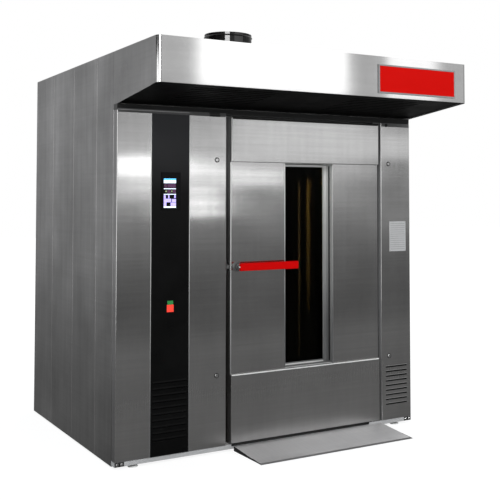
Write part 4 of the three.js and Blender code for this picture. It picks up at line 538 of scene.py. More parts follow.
@dataclass
class Shape:
    """A mesh under way. Each call adds to it, and done() makes the object."""

    mesh: bmesh.types.BMesh = field(default_factory=bmesh.new)

    def block(self, low: Point, high: Point, bevel: float = 0.0, segments: int = 2) -> Shape:
        """Adds a box with rounded edges.

        Args:
            low: its lowest corner.
            high: its highest corner.
            bevel: edge radius.
            segments: faces round an edge.

        Returns:
            This shape.
        """
        a, b = Vector(low), Vector(high)
        size = b - a
        matrix = Matrix.Translation((a + b) / 2) @ Matrix.Diagonal((*size, 1.0))
        made = bmesh.ops.create_cube(self.mesh, size=1.0, matrix=matrix)
        if bevel > 0:
            edges = list({e for v in made["verts"] for e in v.link_edges})
            offset = min(bevel, min(size) * 0.45)
            bmesh.ops.bevel(
                self.mesh, geom=edges, offset=offset, segments=segments, affect="EDGES", profile=0.5
            )
        return self

    def turned(self, centre: Point, axis: Axis, profile: Sequence[Pair], sides: int = 24) -> Shape:
        """Adds a closed body of revolution.

        Args:
            centre: where the profile's zero is.
            axis: the line it turns round.
            profile: radius and place along the axis, from one end to the other.
            sides: faces round it.

        Returns:
            This shape.
        """
        w = axis.vector()
        u = Vector((w.y, w.z, w.x))
        v = w.cross(u)
        at = Vector(centre)
        rings: list[list[bmesh.types.BMVert]] = []
        for radius, along in profile:
            middle = at + w * along
            angles = [2 * math.pi * i / sides for i in range(sides)] if radius > 0 else [0.0]
            rings.append(
                [self.mesh.verts.new(middle + (u * math.cos(a) + v * math.sin(a)) * radius) for a in angles]
            )
        for a, b in zip(rings, rings[1:]):
            for i in range(sides):
                j = (i + 1) % sides
                corners = [a[i % len(a)], a[j % len(a)], b[j % len(b)], b[i % len(b)]]
                unique = list(dict.fromkeys(corners))
                if len(unique) > 2:
                    self.mesh.faces.new(unique)
        for ring in (rings[0], rings[-1]):
            if len(ring) > 2:
                self.mesh.faces.new(ring)
        return self

    def prism(self, points: Sequence[Pair], axis: Axis, start: float, end: float) -> Shape:
        """Adds a closed prism.

        Args:
            points: its section, in the two axes after `axis` in turn.
            axis: the direction it runs in.
            start: where it starts.
            end: where it ends.

        Returns:
            This shape.
        """
        w = axis.vector()
        u = Vector((w.z, w.x, w.y))
        v = Vector((w.y, w.z, w.x))
        caps = [[self.mesh.verts.new(w * along + u * a + v * b) for a, b in points] for along in (start, end)]
        for i in range(len(points)):
            j = (i + 1) % len(points)
            self.mesh.faces.new([caps[0][i], caps[0][j], caps[1][j], caps[1][i]])
        self.mesh.faces.new(list(reversed(caps[0])))
        self.mesh.faces.new(caps[1])
        return self

    def done(self, name: str, fit: Fit) -> bpy.types.Object:
        """Makes the object, dresses it and lets it ride."""
        bmesh.ops.remove_doubles(self.mesh, verts=self.mesh.verts, dist=1e-6)
        bmesh.ops.recalc_face_normals(self.mesh, faces=self.mesh.faces)
        return finish_object(emptied(self.mesh, name), name, fit)


def settle_normals(data: bpy.types.Mesh, limit: float) -> None:
    """Rounds small faces into large ones and leaves the large faces flat.

    Args:
        data: the mesh.
        limit: angle over which faces stay sharp, in degrees.
    """
    around: list[list[int]] = [[] for _ in data.vertices]
    for face in data.polygons:
        for corner in face.vertices:
            around[corner].append(face.index)
    normals = [face.normal.copy() for face in data.polygons]
    weights = [n * face.area for n, face in zip(normals, data.polygons)]
    least = math.cos(math.radians(limit))
    settled = []
    for face in data.polygons:
        own = normals[face.index]
        for corner in face.vertices:
            total = Vector((0, 0, 0))
            for other in around[corner]:
                if normals[other].dot(own) > least:
                    total += weights[other]
            settled.append(total.normalized() if total.length > 1e-15 else own)
    data.normals_split_custom_set(settled)


def finish_object(data: bpy.types.Mesh, name: str, fit: Fit, smooth: float = 35.0) -> bpy.types.Object:
    """Links a mesh as a piece of the oven.

    Args:
        data: the mesh, in place.
        name: the piece's name.
        fit: its body, finish and slot.
        smooth: angle under which edges are smooth, in degrees.

    Returns:
        The object.
    """
    piece = add(name, data)
    if not data.materials:
        data.materials.append(fit.finish.material())
    data.shade_smooth()
    settle_normals(data, smooth)
    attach(piece, fit.body.value)
    LOG.info("piece %s on %s: %d faces", name, fit.body.value, len(data.polygons))
    return piece


def bar(name: str, fit: Fit, low: Point, high: Point, bevel: float, segments: int = 2) -> None:
    """A rounded block as a piece of its own.

    Args:
        name: the piece's name.
        fit: its body, finish and slot.
        low: its lowest corner.
        high: its highest corner.
        bevel: edge radius.
        segments: faces round an edge.
    """
    Shape().block(low, high, bevel, segments).done(name, fit)


def paint(finish: Finish, *nodes: str) -> None:
    """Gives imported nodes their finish."""
    for name in nodes:
        data = bpy.data.objects[name].data
        data.materials.clear()
        data.materials.append(finish.material())
        LOG.info("node %s: %s", name, finish.name)


EdgeTest = Callable[[bmesh.types.BMEdge], bool]


def folded_copy(
    node: str, name: str, fit: Fit, radius: float = 0.0, pick: EdgeTest | None = None
) -> bpy.types.Object:
    """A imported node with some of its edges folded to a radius, in place of the node.

    Args:
        node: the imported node.
        name: the new piece's name.
        fit: its body, finish and slot.
        radius: the fold's outer radius.
        pick: tells whether an edge is folded; without it none is.

    Returns:
        The piece that stands for the node.
    """
    mesh = bmesh.new()
    mesh.from_mesh(bpy.data.objects[node].data)
    bmesh.ops.remove_doubles(mesh, verts=mesh.verts, dist=2e-6)
    bmesh.ops.dissolve_limit(
        mesh, angle_limit=math.radians(0.5), verts=mesh.verts, edges=mesh.edges, delimit={"NORMAL"}
    )
    sharp = [e for e in mesh.edges if len(e.link_faces) == 2 and e.is_convex and e.calc_face_angle(0.0) > 0.3]
    edges = [e for e in sharp if pick is not None and pick(e)]
    if edges:
        bmesh.ops.bevel(
            mesh, geom=edges, offset=radius, segments=3, affect="EDGES", profile=0.5, clamp_overlap=False
        )
    piece = finish_object(emptied(mesh, name), name, fit, 40.0)
    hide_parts(node)
    return piece


def side_finish(piece: bpy.types.Object, finish: Finish, both: bool = False) -> None:
    """Gives the faces that look to the left, or to both sides, a finish of their own: painted shade on most,
    painted light on the right column's return.
    """
    piece.data.materials.append(finish.material())
    last = len(piece.data.materials) - 1
    for face in piece.data.polygons:
        if -face.normal.x > 0.95 or (both and face.normal.x > 0.95):
            face.material_index = last


def rolled_strip(name: str, body: Body, x: float, y: float, z: Pair, width: float) -> None:
    """A thin upright half-round strip on a front face, as a rolled sheet edge, with a painted highlight that
    fades to painted shade lower down.

    Args:
        name: its name.
        body: the body it rides on.
        x: its middle.
        y: the face it lies on.
        z: its lower and upper end.
        width: its width.
    """
    r = width / 2
    arc = [(x + r * math.cos(math.radians(a)), y - 0.5 * r * math.sin(math.radians(a))) for a in HALF_ROUND]
    Shape().prism(arc, Axis.Z, *z).done(name, Fit(body, Finishes.ROLLED, "pale_steel"))


def head_shadow_strip(name: str, node: str, body: Body, depth: float, finish: Finish) -> None:
    """A thin dark strip along the head of a front, as painted shadow of the hood over it.

    Args:
        name: its name.
        node: the front that it closes.
        body: the body it rides on.
        depth: its height.
        finish: its finish.
    """
    low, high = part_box(node)
    y, top = FACE_Y - PROUD, high.z - 0.0005
    foot = top - depth
    section = [(y, top), (y - 0.0016, top), (y - 0.002, foot + 0.001), (y - 0.0012, foot), (y, foot)]
    Shape().prism(section, Axis.X, low.x + 0.005, high.x - 0.005).done(name, Fit(body, finish, "seal"))


# ---------------------------------------------------------------- rows of equal pieces


@dataclass(frozen=True)
class Row:
    """Equal copies in a row, or in a field of rows."""

    start: Point
    step: Point
    count: int
    step_across: Point = (0.0, 0.0, 0.0)
    count_across: int = 1

    @staticmethod
    def tree() -> bpy.types.NodeTree:
        """The node tree that lays the copies out, made on the first call."""
        found = bpy.data.node_groups.get("lay_in_rows")
        if found is not None:
            return found
        made = bpy.data.node_groups.new("lay_in_rows", "GeometryNodeTree")
        face = made.interface
        face.new_socket("Geometry", in_out="OUTPUT", socket_type="NodeSocketGeometry")
        for label, kind in (
            ("Template", "Object"),
            ("Finish", "Material"),
            ("Start", "Vector"),
            ("Step", "Vector"),
            ("Count", "Int"),
            ("Step across", "Vector"),
            ("Count across", "Int"),
        ):
            face.new_socket(label, in_out="INPUT", socket_type="NodeSocket" + kind)
        graph = Graph(made)
        given = graph.node("NodeGroupInput").outputs
        lines = []
        for count, step in (("Count", "Step"), ("Count across", "Step across")):
            line = graph.node("GeometryNodeMeshLine", mode="OFFSET", count_mode="TOTAL")
            graph.link(given[count], line.inputs["Count"])
            graph.link(given[step], line.inputs["Offset"])
            lines.append(line)
        graph.link(given["Start"], lines[0].inputs["Start Location"])
        template = graph.node("GeometryNodeObjectInfo")
        graph.link(given["Template"], template.inputs["Object"])
        points = lines[0].outputs["Mesh"]
        for copied in (lines[1].outputs["Mesh"], template.outputs["Geometry"]):
            copies = graph.node("GeometryNodeInstanceOnPoints")
            graph.link(points, copies.inputs["Points"])
            graph.link(copied, copies.inputs["Instance"])
            real = graph.node("GeometryNodeRealizeInstances")
            graph.link(copies.outputs["Instances"], real.inputs["Geometry"])
            points = real.outputs["Geometry"]
        dressed = graph.node("GeometryNodeSetMaterial")
        graph.link(points, dressed.inputs["Geometry"])
        graph.link(given["Finish"], dressed.inputs["Material"])
        graph.link(dressed.outputs["Geometry"], graph.node("NodeGroupOutput").inputs[0])
        return made

    def lay(self, template: Shape, name: str, fit: Fit) -> None:
        """Lays copies of a small shape drawn round the origin, as one plain mesh.

        Args:
            template: the shape.
            name: the piece's name.
            fit: its body, finish and slot.
        """
        bmesh.ops.recalc_face_normals(template.mesh, faces=template.mesh.faces)
        single = add(name + "_template", emptied(template.mesh, name + "_template"))
        host = add(name + "_host", bpy.data.meshes.new(name + "_host"))
        modifier = host.modifiers.new("rows", "NODES")
        modifier.node_group = self.tree()
        values = {
            "Template": single,
            "Finish": fit.finish.material(),
            "Start": self.start,
            "Step": self.step,
            "Count": self.count,
            "Step across": self.step_across,
            "Count across": self.count_across,
        }
        for socket in modifier.node_group.interface.items_tree:
            if socket.in_out == "INPUT":
                modifier[socket.identifier] = values[socket.name]
        host.update_tag()
        bpy.context.view_layer.update()
        shown = host.evaluated_get(bpy.context.evaluated_depsgraph_get())
        result = bpy.data.meshes.new_from_object(shown)
        result.name = name
        for item in (host, single):
            bpy.data.objects.remove(item)
        finish_object(result, name, fit)


def pan_head(radius: float, axis: Axis = Axis.Y, toward: float = -1.0) -> Shape:
    """A low domed screw head with its recess, standing on the origin.

    Args:
        radius: the head's radius.
        axis: the screw's axis.
        toward: 1 or -1, the side that the head looks to.

    Returns:
        The shape.
    """
    h = radius * 0.55 * toward
    section = ((0, -0.2), (1, -0.2), (1, 0.25), (0.72, 0.8), (0.3, 1), (0.22, 0.45), (0, 0.4))
    return Shape().turned((0, 0, 0), axis, [(radius * a, h * b) for a, b in section], 14)


def flush_head(radius: float, axis: Axis, toward: float) -> Shape:
    """A countersunk screw head, flush with the sheet that the origin lies on.

    Args:
        radius: the head's radius.
        axis: the screw's axis.
        toward: 1 or -1, the side that the head looks to.

    Returns:
        The shape.
    """
    deep, top = -0.6 * radius * toward, PROUD * toward
    section = ((0, deep), (0.55, deep), (1, 0), (0.96, top), (0.3, top), (0.22, deep / 2), (0, deep / 2))
    return Shape().turned((0, 0, 0), axis, [(radius * a, along) for a, along in section], 14)


def hex_bolt(radius: float, axis: Axis = Axis.Z, toward: float = 1.0) -> Shape:
    """A hexagon bolt head on its washer, standing on the origin.

    Args:
        radius: across the head's corners, halved.
        axis: the bolt's axis.
        toward: 1 or -1, the side that the head looks to.

    Returns:
        The shape.
    """
    shape = Shape()
    for section, sides in (
        (((0, -0.05), (1.25, -0.05), (1.25, 0.14), (0, 0.14)), 18),
        (((0, 0.12), (1, 0.12), (1, 0.62), (0.86, 0.74), (0, 0.74)), 6),
    ):
        shape.turned((0, 0, 0), axis, [(radius * a, radius * toward * b) for a, b in section], sides)
    return shape


def bolt_ring(name: str, body: Body, centre: Point, radius: float, count: int, size: float) -> None:
    """Hexagon bolts in a ring on a level face.

    Args:
        name: the piece's name.
        body: the body it rides on.
        centre: the ring's centre, on the face.
        radius: the ring's radius.
        count: how many bolts.
        size: radius of a head.
    """
    shape = Shape()
    for i in range(count):
        a = 2 * math.pi * (i + 0.5) / count
        head = hex_bolt(size)
        offset = Vector((radius * math.cos(a), radius * math.sin(a), 0.0))
        head.mesh.transform(Matrix.Translation(Vector(centre) + offset))
        shape.mesh.from_mesh(emptied(head.mesh, "one_bolt"))
    shape.done(name, Fit(body, Finishes.BOLT, "pale_steel"))


# ---------------------------------------------------------------- carcass

SLOT_X = (-0.453, -0.386)  # x of the dark slot over the service column, painted as shade on the rail and on the column
SIDES = ((-1, "left"), (1, "right"))


@dataclass
class Carcass:
    """Base, feet, cladding, roof and rails."""

    seam_width: float = 0.003
    seam_lap: float = 0.0025
    fold: float = 0.003
    cheek: float = 0.004
    rivet: float = 0.0032
    screw: float = 0.00384
    nut: float = 0.013
    nut_bore: float = 0.0082
    nut_height: float = 0.005
    jack: float = 0.054
    drip: Pair = (0.0035, 0.0022)  # how far the dark strip of painted hood shadow stands out, above and at its lip
    drip_end: float = -0.343  # where that strip's lip starts, over the door

    def finishes(self) -> None:
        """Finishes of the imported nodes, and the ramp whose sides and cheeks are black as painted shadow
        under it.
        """
        paint(Finishes.SOCLE, "base_frame")
        ramp = folded_copy("ramp", "ramp_plate", Fit(Body.CABINET, Finishes.RAMP, "pale_steel"))
        # painted shadow: the ramp's sides and the cheeks beside them are black as the shade under the sloped
        # plate
        side_finish(ramp, Finishes.GASKET_AND_SHADE_BLACK, both=True)
        low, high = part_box("ramp")
        nose, back = low.y + 0.012, high.y - 0.001
        section = [(nose, 0.0006), (back, 0.0006), (back, high.z - 0.0012), (nose, 0.0026)]
        for label, x in (("left", low.x + PROUD), ("right", high.x - PROUD - self.cheek)):
            Shape().prism(section, Axis.X, x, x + self.cheek).done(f"ramp_cheek_{label}", Fits.SEAL_AND_SHADOW)
        # painted light: the feet are coated pale so that they stay light in the cabinet's shade
        paint(Finishes.PAINTED_GLINT, *(f"levelling_foot_{i}" for i in range(1, 5)))
        paint(Finishes.SIDE, "rear_cladding")
        paint(Finishes.PALE, "roof_deck")
        paint(Finishes.SHADED_RAIL, "top_rail")
        paint(Finishes.SHADED_JAMB, "front_frame")

    def cassettes(self) -> None:
        """Side cassettes with their folded edges, and beads in their seams painted bright as a highlight."""
        for side, label in SIDES:
            for i in range(1, 5):
                node = f"{label}_cladding_{i}"
                low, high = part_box(node)
                outer = high.x if side > 0 else low.x
                folded_copy(
                    node,
                    f"{label}_cassette_{i}",
                    Fit(Body.CABINET, Finishes.SIDE, "steel"),
                    self.fold,
                    lambda e, x=outer: all(abs(v.co.x - x) < 1e-5 for v in e.verts)
                    and abs(e.verts[0].co.z - e.verts[1].co.z) > 1.0,
                )
                if i > 1:
                    self.seam(f"{label}_seam_bead_{i - 1}", outer, side, low.y, (low.z, high.z))

    def seam(self, name: str, outer: float, side: int, y: float, z: Pair) -> None:
        """A rolled bead in the joint of two cassettes, in brighter steel as a painted highlight.

        Args:
            name: the piece's name.
            outer: x of the side's outer face.
            side: -1 on the left and 1 on the right.
            y: front edge of the cassette behind the joint.
            z: lower and upper end.
        """
        mid = y - self.seam_width / 2
        reach = self.seam_width / 2 + self.seam_lap
        arc = [(math.cos(math.radians(a)), 1.0 - math.sin(math.radians(a))) for a in HALF_ROUND]
        shares = [(1.0, 1.4), *arc, (-1.0, 1.4)]
        section = [(outer - side * (0.0002 + 0.004 * deep), mid + reach * at) for at, deep in shares]
        Shape().prism(section, Axis.Z, *z).done(name, Fits.EDGE)

    def fasteners(self) -> None:
        """Rivets along the cladding's edges, screws down the rear seams, and the nuts of the feet."""
        low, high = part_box("rear_cladding")
        wide = high.x - low.x
        seams = [low.x + wide * i / 3 + aside for i in (1, 2) for aside in (-0.02, 0.02)]
        rows = [
            (f"rear_screws_{i}", Row((x, high.y, 0.11), (0, 0, 0.215), 11)) for i, x in enumerate(seams, 1)
        ]
        rows += [
            (f"rear_edge_screws_{label}", Row((low.x + 0.06, high.y, z), ((wide - 0.12) / 12, 0, 0), 13))
            for label, z in (("upper", 2.27), ("lower", 0.05))
        ]
        for name, row in rows:
            row.lay(flush_head(self.screw, Axis.Y, 1.0), name, Fits.BOLT)
        for side, label in SIDES:
            a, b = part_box(f"{label}_cladding_1")[0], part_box(f"{label}_cladding_4")[1]
            x = a.x if side < 0 else b.x
            for name, z in (("upper", 2.282), ("lower", 0.028)):
                Row((x, a.y + 0.09, z), (0, (b.y - a.y - 0.18) / 10, 0), 11).lay(
                    flush_head(self.rivet, Axis.X, float(side)), f"{label}_rivets_{name}", Fits.BOLT
                )
        a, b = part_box("levelling_foot_1")
        mid, step = (a + b) / 2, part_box("levelling_foot_4")[0] - a
        bore, r, h = self.nut_bore, self.nut, self.nut_height
        nut = Shape().turned((0, 0, 0.0085), Axis.Z, [(bore, 0.0), (r, 0.0), (r, h), (bore, h)], 6)
        Row((mid.x, mid.y, 0.0), (step.x, 0, 0), 2, (0, step.y, 0), 2).lay(nut, "foot_nuts", Fits.BOLT)

    def jacks(self) -> None:
        """Bolted jacking plates at the front corners of the base."""
        low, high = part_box("base_frame")
        y = low.y - 0.0022
        for side, x, label in ((1, low.x, "left"), (-1, high.x, "right")):
            a, b = sorted((x + side * 0.0004, x + side * self.jack))
            plate = Fit(Body.CABINET, Finishes.GASKET_AND_SHADE_BLACK, "steel")
            start, end = (a, y, low.z + 0.001), (b, low.y - PROUD, low.z + 0.024)
            bar(f"jack_plate_{label}", plate, start, end, 0.0006)
            heads = Row((x + side * 0.013, y, low.z + 0.0125), (side * 0.027, 0, 0), 2)
            heads.lay(hex_bolt(0.0072, Axis.Y, -1.0), f"jack_bolts_{label}", Fits.BOLT)

    def rail_trim(self) -> None:
        """Dark block in the rail's slot over the left column as painted shade, the rail's hem, and black
        strips along the rail as painted shadow of the hood.
        """
        low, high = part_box("top_rail")
        y = low.y - PROUD
        slot = Fit(Body.CABINET, Finishes.DARK, "seal")
        bar("rail_slot", slot, (SLOT_X[0], low.y - 0.0026, 1.9715), (SLOT_X[1], y, 1.981), 0.0003)
        hem = Fit(Body.CABINET, Finishes.SHADED_CHEEK, "pale_steel")
        bar("rail_hem", hem, (low.x + 0.003, low.y - 0.0012, 1.9705), (-0.579, y, 1.9745), 0.0005)
        head, foot, out, lip = high.z - 0.0005, high.z - 0.024, low.y - self.drip[0], low.y - self.drip[1]
        plain = [(low.y, head), (out, head), (out, foot), (low.y, foot)]
        lipped = [*plain[:3], (lip, foot - 0.0035), (lip, foot - 0.0075), (low.y, foot - 0.0075)]
        # painted shadow: black strips along the rail where the hood's shadow falls
        for name, section, x0, x1 in (
            ("drip_seal_left", plain, low.x + 0.002, self.drip_end - 0.0002),
            ("drip_seal", lipped, self.drip_end, high.x - 0.002),
        ):
            Shape().prism(section, Axis.X, x0, x1).done(name, Fits.SEAL_AND_SHADOW)

    def build(self) -> None:
        """Builds the carcass."""
        self.finishes()
        self.cassettes()
        self.fasteners()
        self.jacks()
        self.rail_trim()
        LOG.info("carcass done")


# ---------------------------------------------------------------- columns


def is_front_fold(limit: float, radius: float) -> EdgeTest:
    """Picks long edges near the front whose two faces are wide enough for a fold.

    Args:
        limit: highest y of such an edge.
        radius: the fold's radius.

    Returns:
        The test.
    """

    def test(edge: bmesh.types.BMEdge) -> bool:
        """True for an edge that is folded."""
        length = edge.calc_length()
        if length < 0.1 or any(v.co.y > limit for v in edge.verts):
            return False
        return min(f.calc_area() for f in edge.link_faces) / length > 1.4 * radius

    return test


@dataclass
class Louvres:
    """A field of louvres: pressed lips over the slots and a dark screen behind them, painted shade that shows
    through the slots.
    """

    name: str
    fit: Fit
    x: Pair
    low: float
    pitch: float
    height: float
    count: int
    cover: float = 0.42  # how low the lip starts, as a share of its height
    inner: bool = True  # with the part of the blade that slants into the slot
    lip: float = 0.0022
    gauge: float = 0.0012
    reach: float = 0.016

    def blade(self) -> Shape:
        """One lip: a slanting blade that starts over its slot and ends inside it."""
        h, t = self.height, self.gauge
        fold = (-self.lip + t * 1.1, h * self.cover - t * 0.3)
        wide = self.x[1] - self.x[0]
        upper = [(-self.lip, h * self.cover), (0.0006, h + 0.0022), (0.0018, h + 0.001), fold]
        shape = Shape().prism(upper, Axis.X, 0.0, wide)
        if self.inner:
            lower = [fold, (self.reach, -h * 0.2), (self.reach - t, -h * 0.2 - t), (-self.lip, h * 0.3)]
            shape.prism(lower, Axis.X, 0.0, wide)
        return shape

    def build(self) -> None:
        """Lays the blades and stands the dark screen of painted shade behind them."""
        row = Row((self.x[0], FACE_Y, self.low), (0, 0, self.pitch), self.count)
        row.lay(self.blade(), f"{self.name}_blades", self.fit)
        bar(
            f"{self.name}_screen",
            replace(self.fit, finish=Finishes.DARK),
            (self.x[0] - 0.011, FACE_Y + 0.019, self.low - 0.024),
            (self.x[1] + 0.011, FACE_Y + 0.0205, self.low + self.pitch * self.count),
            0.0004,
        )


@dataclass
class ServiceColumn:
    """Left column: the service door with its dark panel, screen, pilots and locks."""

    fold: float = 0.004
    trim: float = 0.0045
    glass: float = 0.0009  # thickness of the sheet over the bezel, with its gap
    picture_shift: float = 0.0044
    pilot_x: float = -0.696
    lock: float = 0.011  # from the lock's left end to its axis

    def shell(self) -> None:
        """The column's folded shell with painted shade on its side faces, its dark panel and the bright edges
        beside it, which are painted highlights.
        """
        steel = Fit(Body.SERVICE_DOOR, Finishes.FRONT, "steel")
        pick = is_front_fold(FACE_Y + 1e-4, self.fold)
        side_finish(folded_copy("service_door", "service_door_shell", steel, self.fold, pick), Finishes.SHADED_CHEEK)
        head_shadow_strip("service_head_trim", "service_door", Body.SERVICE_DOOR, 0.012, Finishes.SHADED_RAIL)
        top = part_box("service_door")[1].z
        # painted shade: a dark block in the slot at the column's head
        slot = Fit(Body.SERVICE_DOOR, Finishes.DARK, "seal")
        low, high = (SLOT_X[0], FACE_Y - 0.0034, top - 0.0135), (SLOT_X[1], FACE_Y - PROUD, top - 0.001)
        bar("head_slot", slot, low, high, 0.0003)
        paint(Finishes.BLACK, "black_panel")
        low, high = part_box("black_panel")
        ends = (low.z + 0.002, high.z - 0.002)
        for label, x in (("left", low.x), ("right", high.x)):
            rolled_strip(f"panel_trim_{label}", Body.SERVICE_DOOR, x, FACE_Y - PROUD, ends, self.trim)
        black = Fit(Body.SERVICE_DOOR, Finishes.BLACK, "black_panel")
        Louvres("panel_louvre", black, (low.x + 0.0145, high.x - 0.0145), 0.126, 0.035, 0.014, 10).build()

    def screen(self) -> None:
        """The lit touch screen: header, rows of tiles and keys, all generic."""
        paint(Finishes.BEZEL, "display_bezel")
        paint(Finishes.SCREEN, "display_screen")
        low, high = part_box("display_bezel")
        y1 = low.y - self.glass
        bar(
            "display_glass",
            Fit(Body.SERVICE_DOOR, Finishes.BEZEL, "screen"),
            (low.x + 0.004, y1, low.z + 0.004),
            (high.x - 0.004, low.y - PROUD, high.z - 0.004),
            0.0004,
        )
        y0 = y1 - 0.0005
        low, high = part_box("display_screen")
        shift = self.picture_shift
        low.x, high.x = low.x - shift, high.x - 2.4 * shift
        low.z, high.z = low.z - 2.0 * shift, high.z - 3.6 * shift
        wide, tall = high.x - low.x, high.z - low.z
        # Tiles as shares of the picture: left, right, foot and head.
        for name, finish, tiles in (
            ("header", Finishes.SCREEN_WHITE, ((0, 1, 0.84, 0.94), (0, 1, 0.64, 0.665), (0, 1, 0.455, 0.48))),
            ("status_bar", Finishes.SCREEN_CYAN, ((0, 1, 0.945, 0.995),)),
            (
                "rows",
                Finishes.SCREEN_WINE,
                (
                    (0.3, 0.98, 0.69, 0.82), (0.03, 0.26, 0.69, 0.82),
                    (0.3, 0.56, 0.5, 0.62), (0.74, 0.98, 0.5, 0.62),
                ),
            ),
            (
                "figures",
                Finishes.SCREEN_OLIVE,
                ((0.08, 0.24, 0.735, 0.785), (0.12, 0.26, 0.54, 0.59), (0.62, 0.7, 0.54, 0.6)),
            ),
            (
                "keys",
                Finishes.SCREEN_LILAC,
                (
                    (0.36, 0.46, 0.33, 0.44), (0, 0.16, 0.3, 0.44), (0.86, 0.98, 0.34, 0.44),
                    (0, 0.6, 0.2, 0.32), (0.66, 1, 0.2, 0.31), (0, 0.22, 0.07, 0.2), (0.56, 1, 0.07, 0.19),
                ),
            ),
            ("foot", Finishes.SCREEN_WHITE, ((0, 1, 0.015, 0.065),)),
        ):
            shape = Shape()
            for a, b, c, d in tiles:
                shape.block(
                    (low.x + wide * a, y0, low.z + tall * c), (low.x + wide * b, y1, low.z + tall * d)
                )
            shape.done(f"screen_{name}", Fit(Body.SERVICE_DOOR, finish, "screen"))

    def pilots(self) -> None:
        """Two small square pilot lamps, one over the other."""
        x = self.pilot_x
        for label, half, z0, z1, finish in (
            ("upper", 0.0175, 0.8785, 0.9, Finishes.PILOT_GREEN),
            ("lower", 0.0205, 0.8365, 0.8775, Finishes.PILOT_RED),
        ):
            low, high = (x - half, FACE_Y - 0.0022, z0), (x + half, FACE_Y - PROUD, z1)
            bar(f"pilot_{label}", Fit(Body.SERVICE_DOOR, finish, "screen"), low, high, 0.0022, 3)

    def locks(self) -> None:
        """Polished locks and the dark rings they sit in."""
        names = [f"{column}_lock_{at}" for column in ("service", "column") for at in ("upper", "lower")]
        paint(Finishes.BOLT, *names)
        ring = [(0.0118, -0.0002), (0.0150, -0.0002), (0.0145, -0.0016), (0.0122, -0.0019), (0.0118, -0.0002)]
        for name in names:
            low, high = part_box(name)
            body = Body.SERVICE_DOOR if name.startswith("service") else Body.CABINET
            shape = Shape().turned((low.x + self.lock, FACE_Y, (low.z + high.z) / 2), Axis.Y, ring, 32)
            shape.done(f"{name}_ring", Fit(body, Finishes.GASKET_AND_SHADE_BLACK, "seal"))

    def build(self) -> None:
        """Builds the column."""
        self.shell()
        self.screen()
        self.pilots()
        self.locks()
        Switchgear().build()
        LOG.info("service column done")


@dataclass
class Switchgear:
    """Back plate with its trunking, devices, terminals and wires."""

    device: float = 0.1  # height of a device
    rise: float = 0.07  # length of the wires over it
    wire: float = 0.0021
    wire_y: float = -0.172

    def plate(self) -> None:
        """Tells plate, trunking and devices apart by their depth."""
        fit = Fit(Body.CABINET, Finishes.PALE, "switchgear")
        plate = folded_copy("electrical_plate", "switchgear_plate", fit)
        for finish in (Finishes.SWITCH, Finishes.SWITCH_DARK):
            plate.data.materials.append(finish.material())
        for face in plate.data.polygons:
            y = face.center.y
            if y < -0.19 or (y < -0.162 and abs(face.normal.y) < 0.5):
                face.material_index = 2
            elif y < -0.136:
                face.material_index = 1

    def build(self) -> None:
        """Fits terminals, windows, keys and wires to each row of devices."""
        self.plate()
        wide_row, narrow_row = (4, -0.871, 0.083, 0.1147), (5, -0.874, 0.066, 0.0917)
        levels = (
            (0.43, -0.209, narrow_row), (0.75, -0.221, wide_row), (1.07, -0.233, narrow_row),
            (1.39, -0.209, wide_row),
        )
        for index, (z, y, (count, x, width, pitch)) in enumerate(levels, 1):
            poles = ((width / 3, 0, 0), 3, (pitch, 0, 0), count)
            for label, at in (("upper", z + self.device - 0.012), ("lower", z + 0.012)):
                fit = Fit(Body.CABINET, Finishes.BOLT, "switchgear")
                Row((x + width / 6, y, at), *poles).lay(pan_head(0.0055), f"terminals_{label}_{index}", fit)
            middle = Row((x + width / 2, y, z + self.device / 2), (pitch, 0, 0), count)
            window = Shape().block((-width * 0.3, -0.0016, -0.014), (width * 0.3, 0.0002, 0.014), 0.0008)
            middle.lay(window, f"device_windows_{index}", Fit(Body.CABINET, Finishes.LABEL, "switchgear"))
            key = Shape().block((-0.006, -0.006, -0.004), (0.006, -0.001, 0.007), 0.001)
            middle.lay(key, f"device_keys_{index}", Fit(Body.CABINET, Finishes.MOTOR, "switchgear"))
            r = self.wire
            profile = [(0.0, -0.001), (r, -0.001), (r, self.rise), (0.0, self.rise)]
            wire = Shape().turned((0, 0, 0), Axis.Z, profile, 8)
            fit = Fit(Body.CABINET, Finishes.GASKET_AND_SHADE_BLACK, "switchgear")
            Row((x + width / 6, self.wire_y, z + self.device), *poles).lay(wire, f"device_wires_{index}", fit)


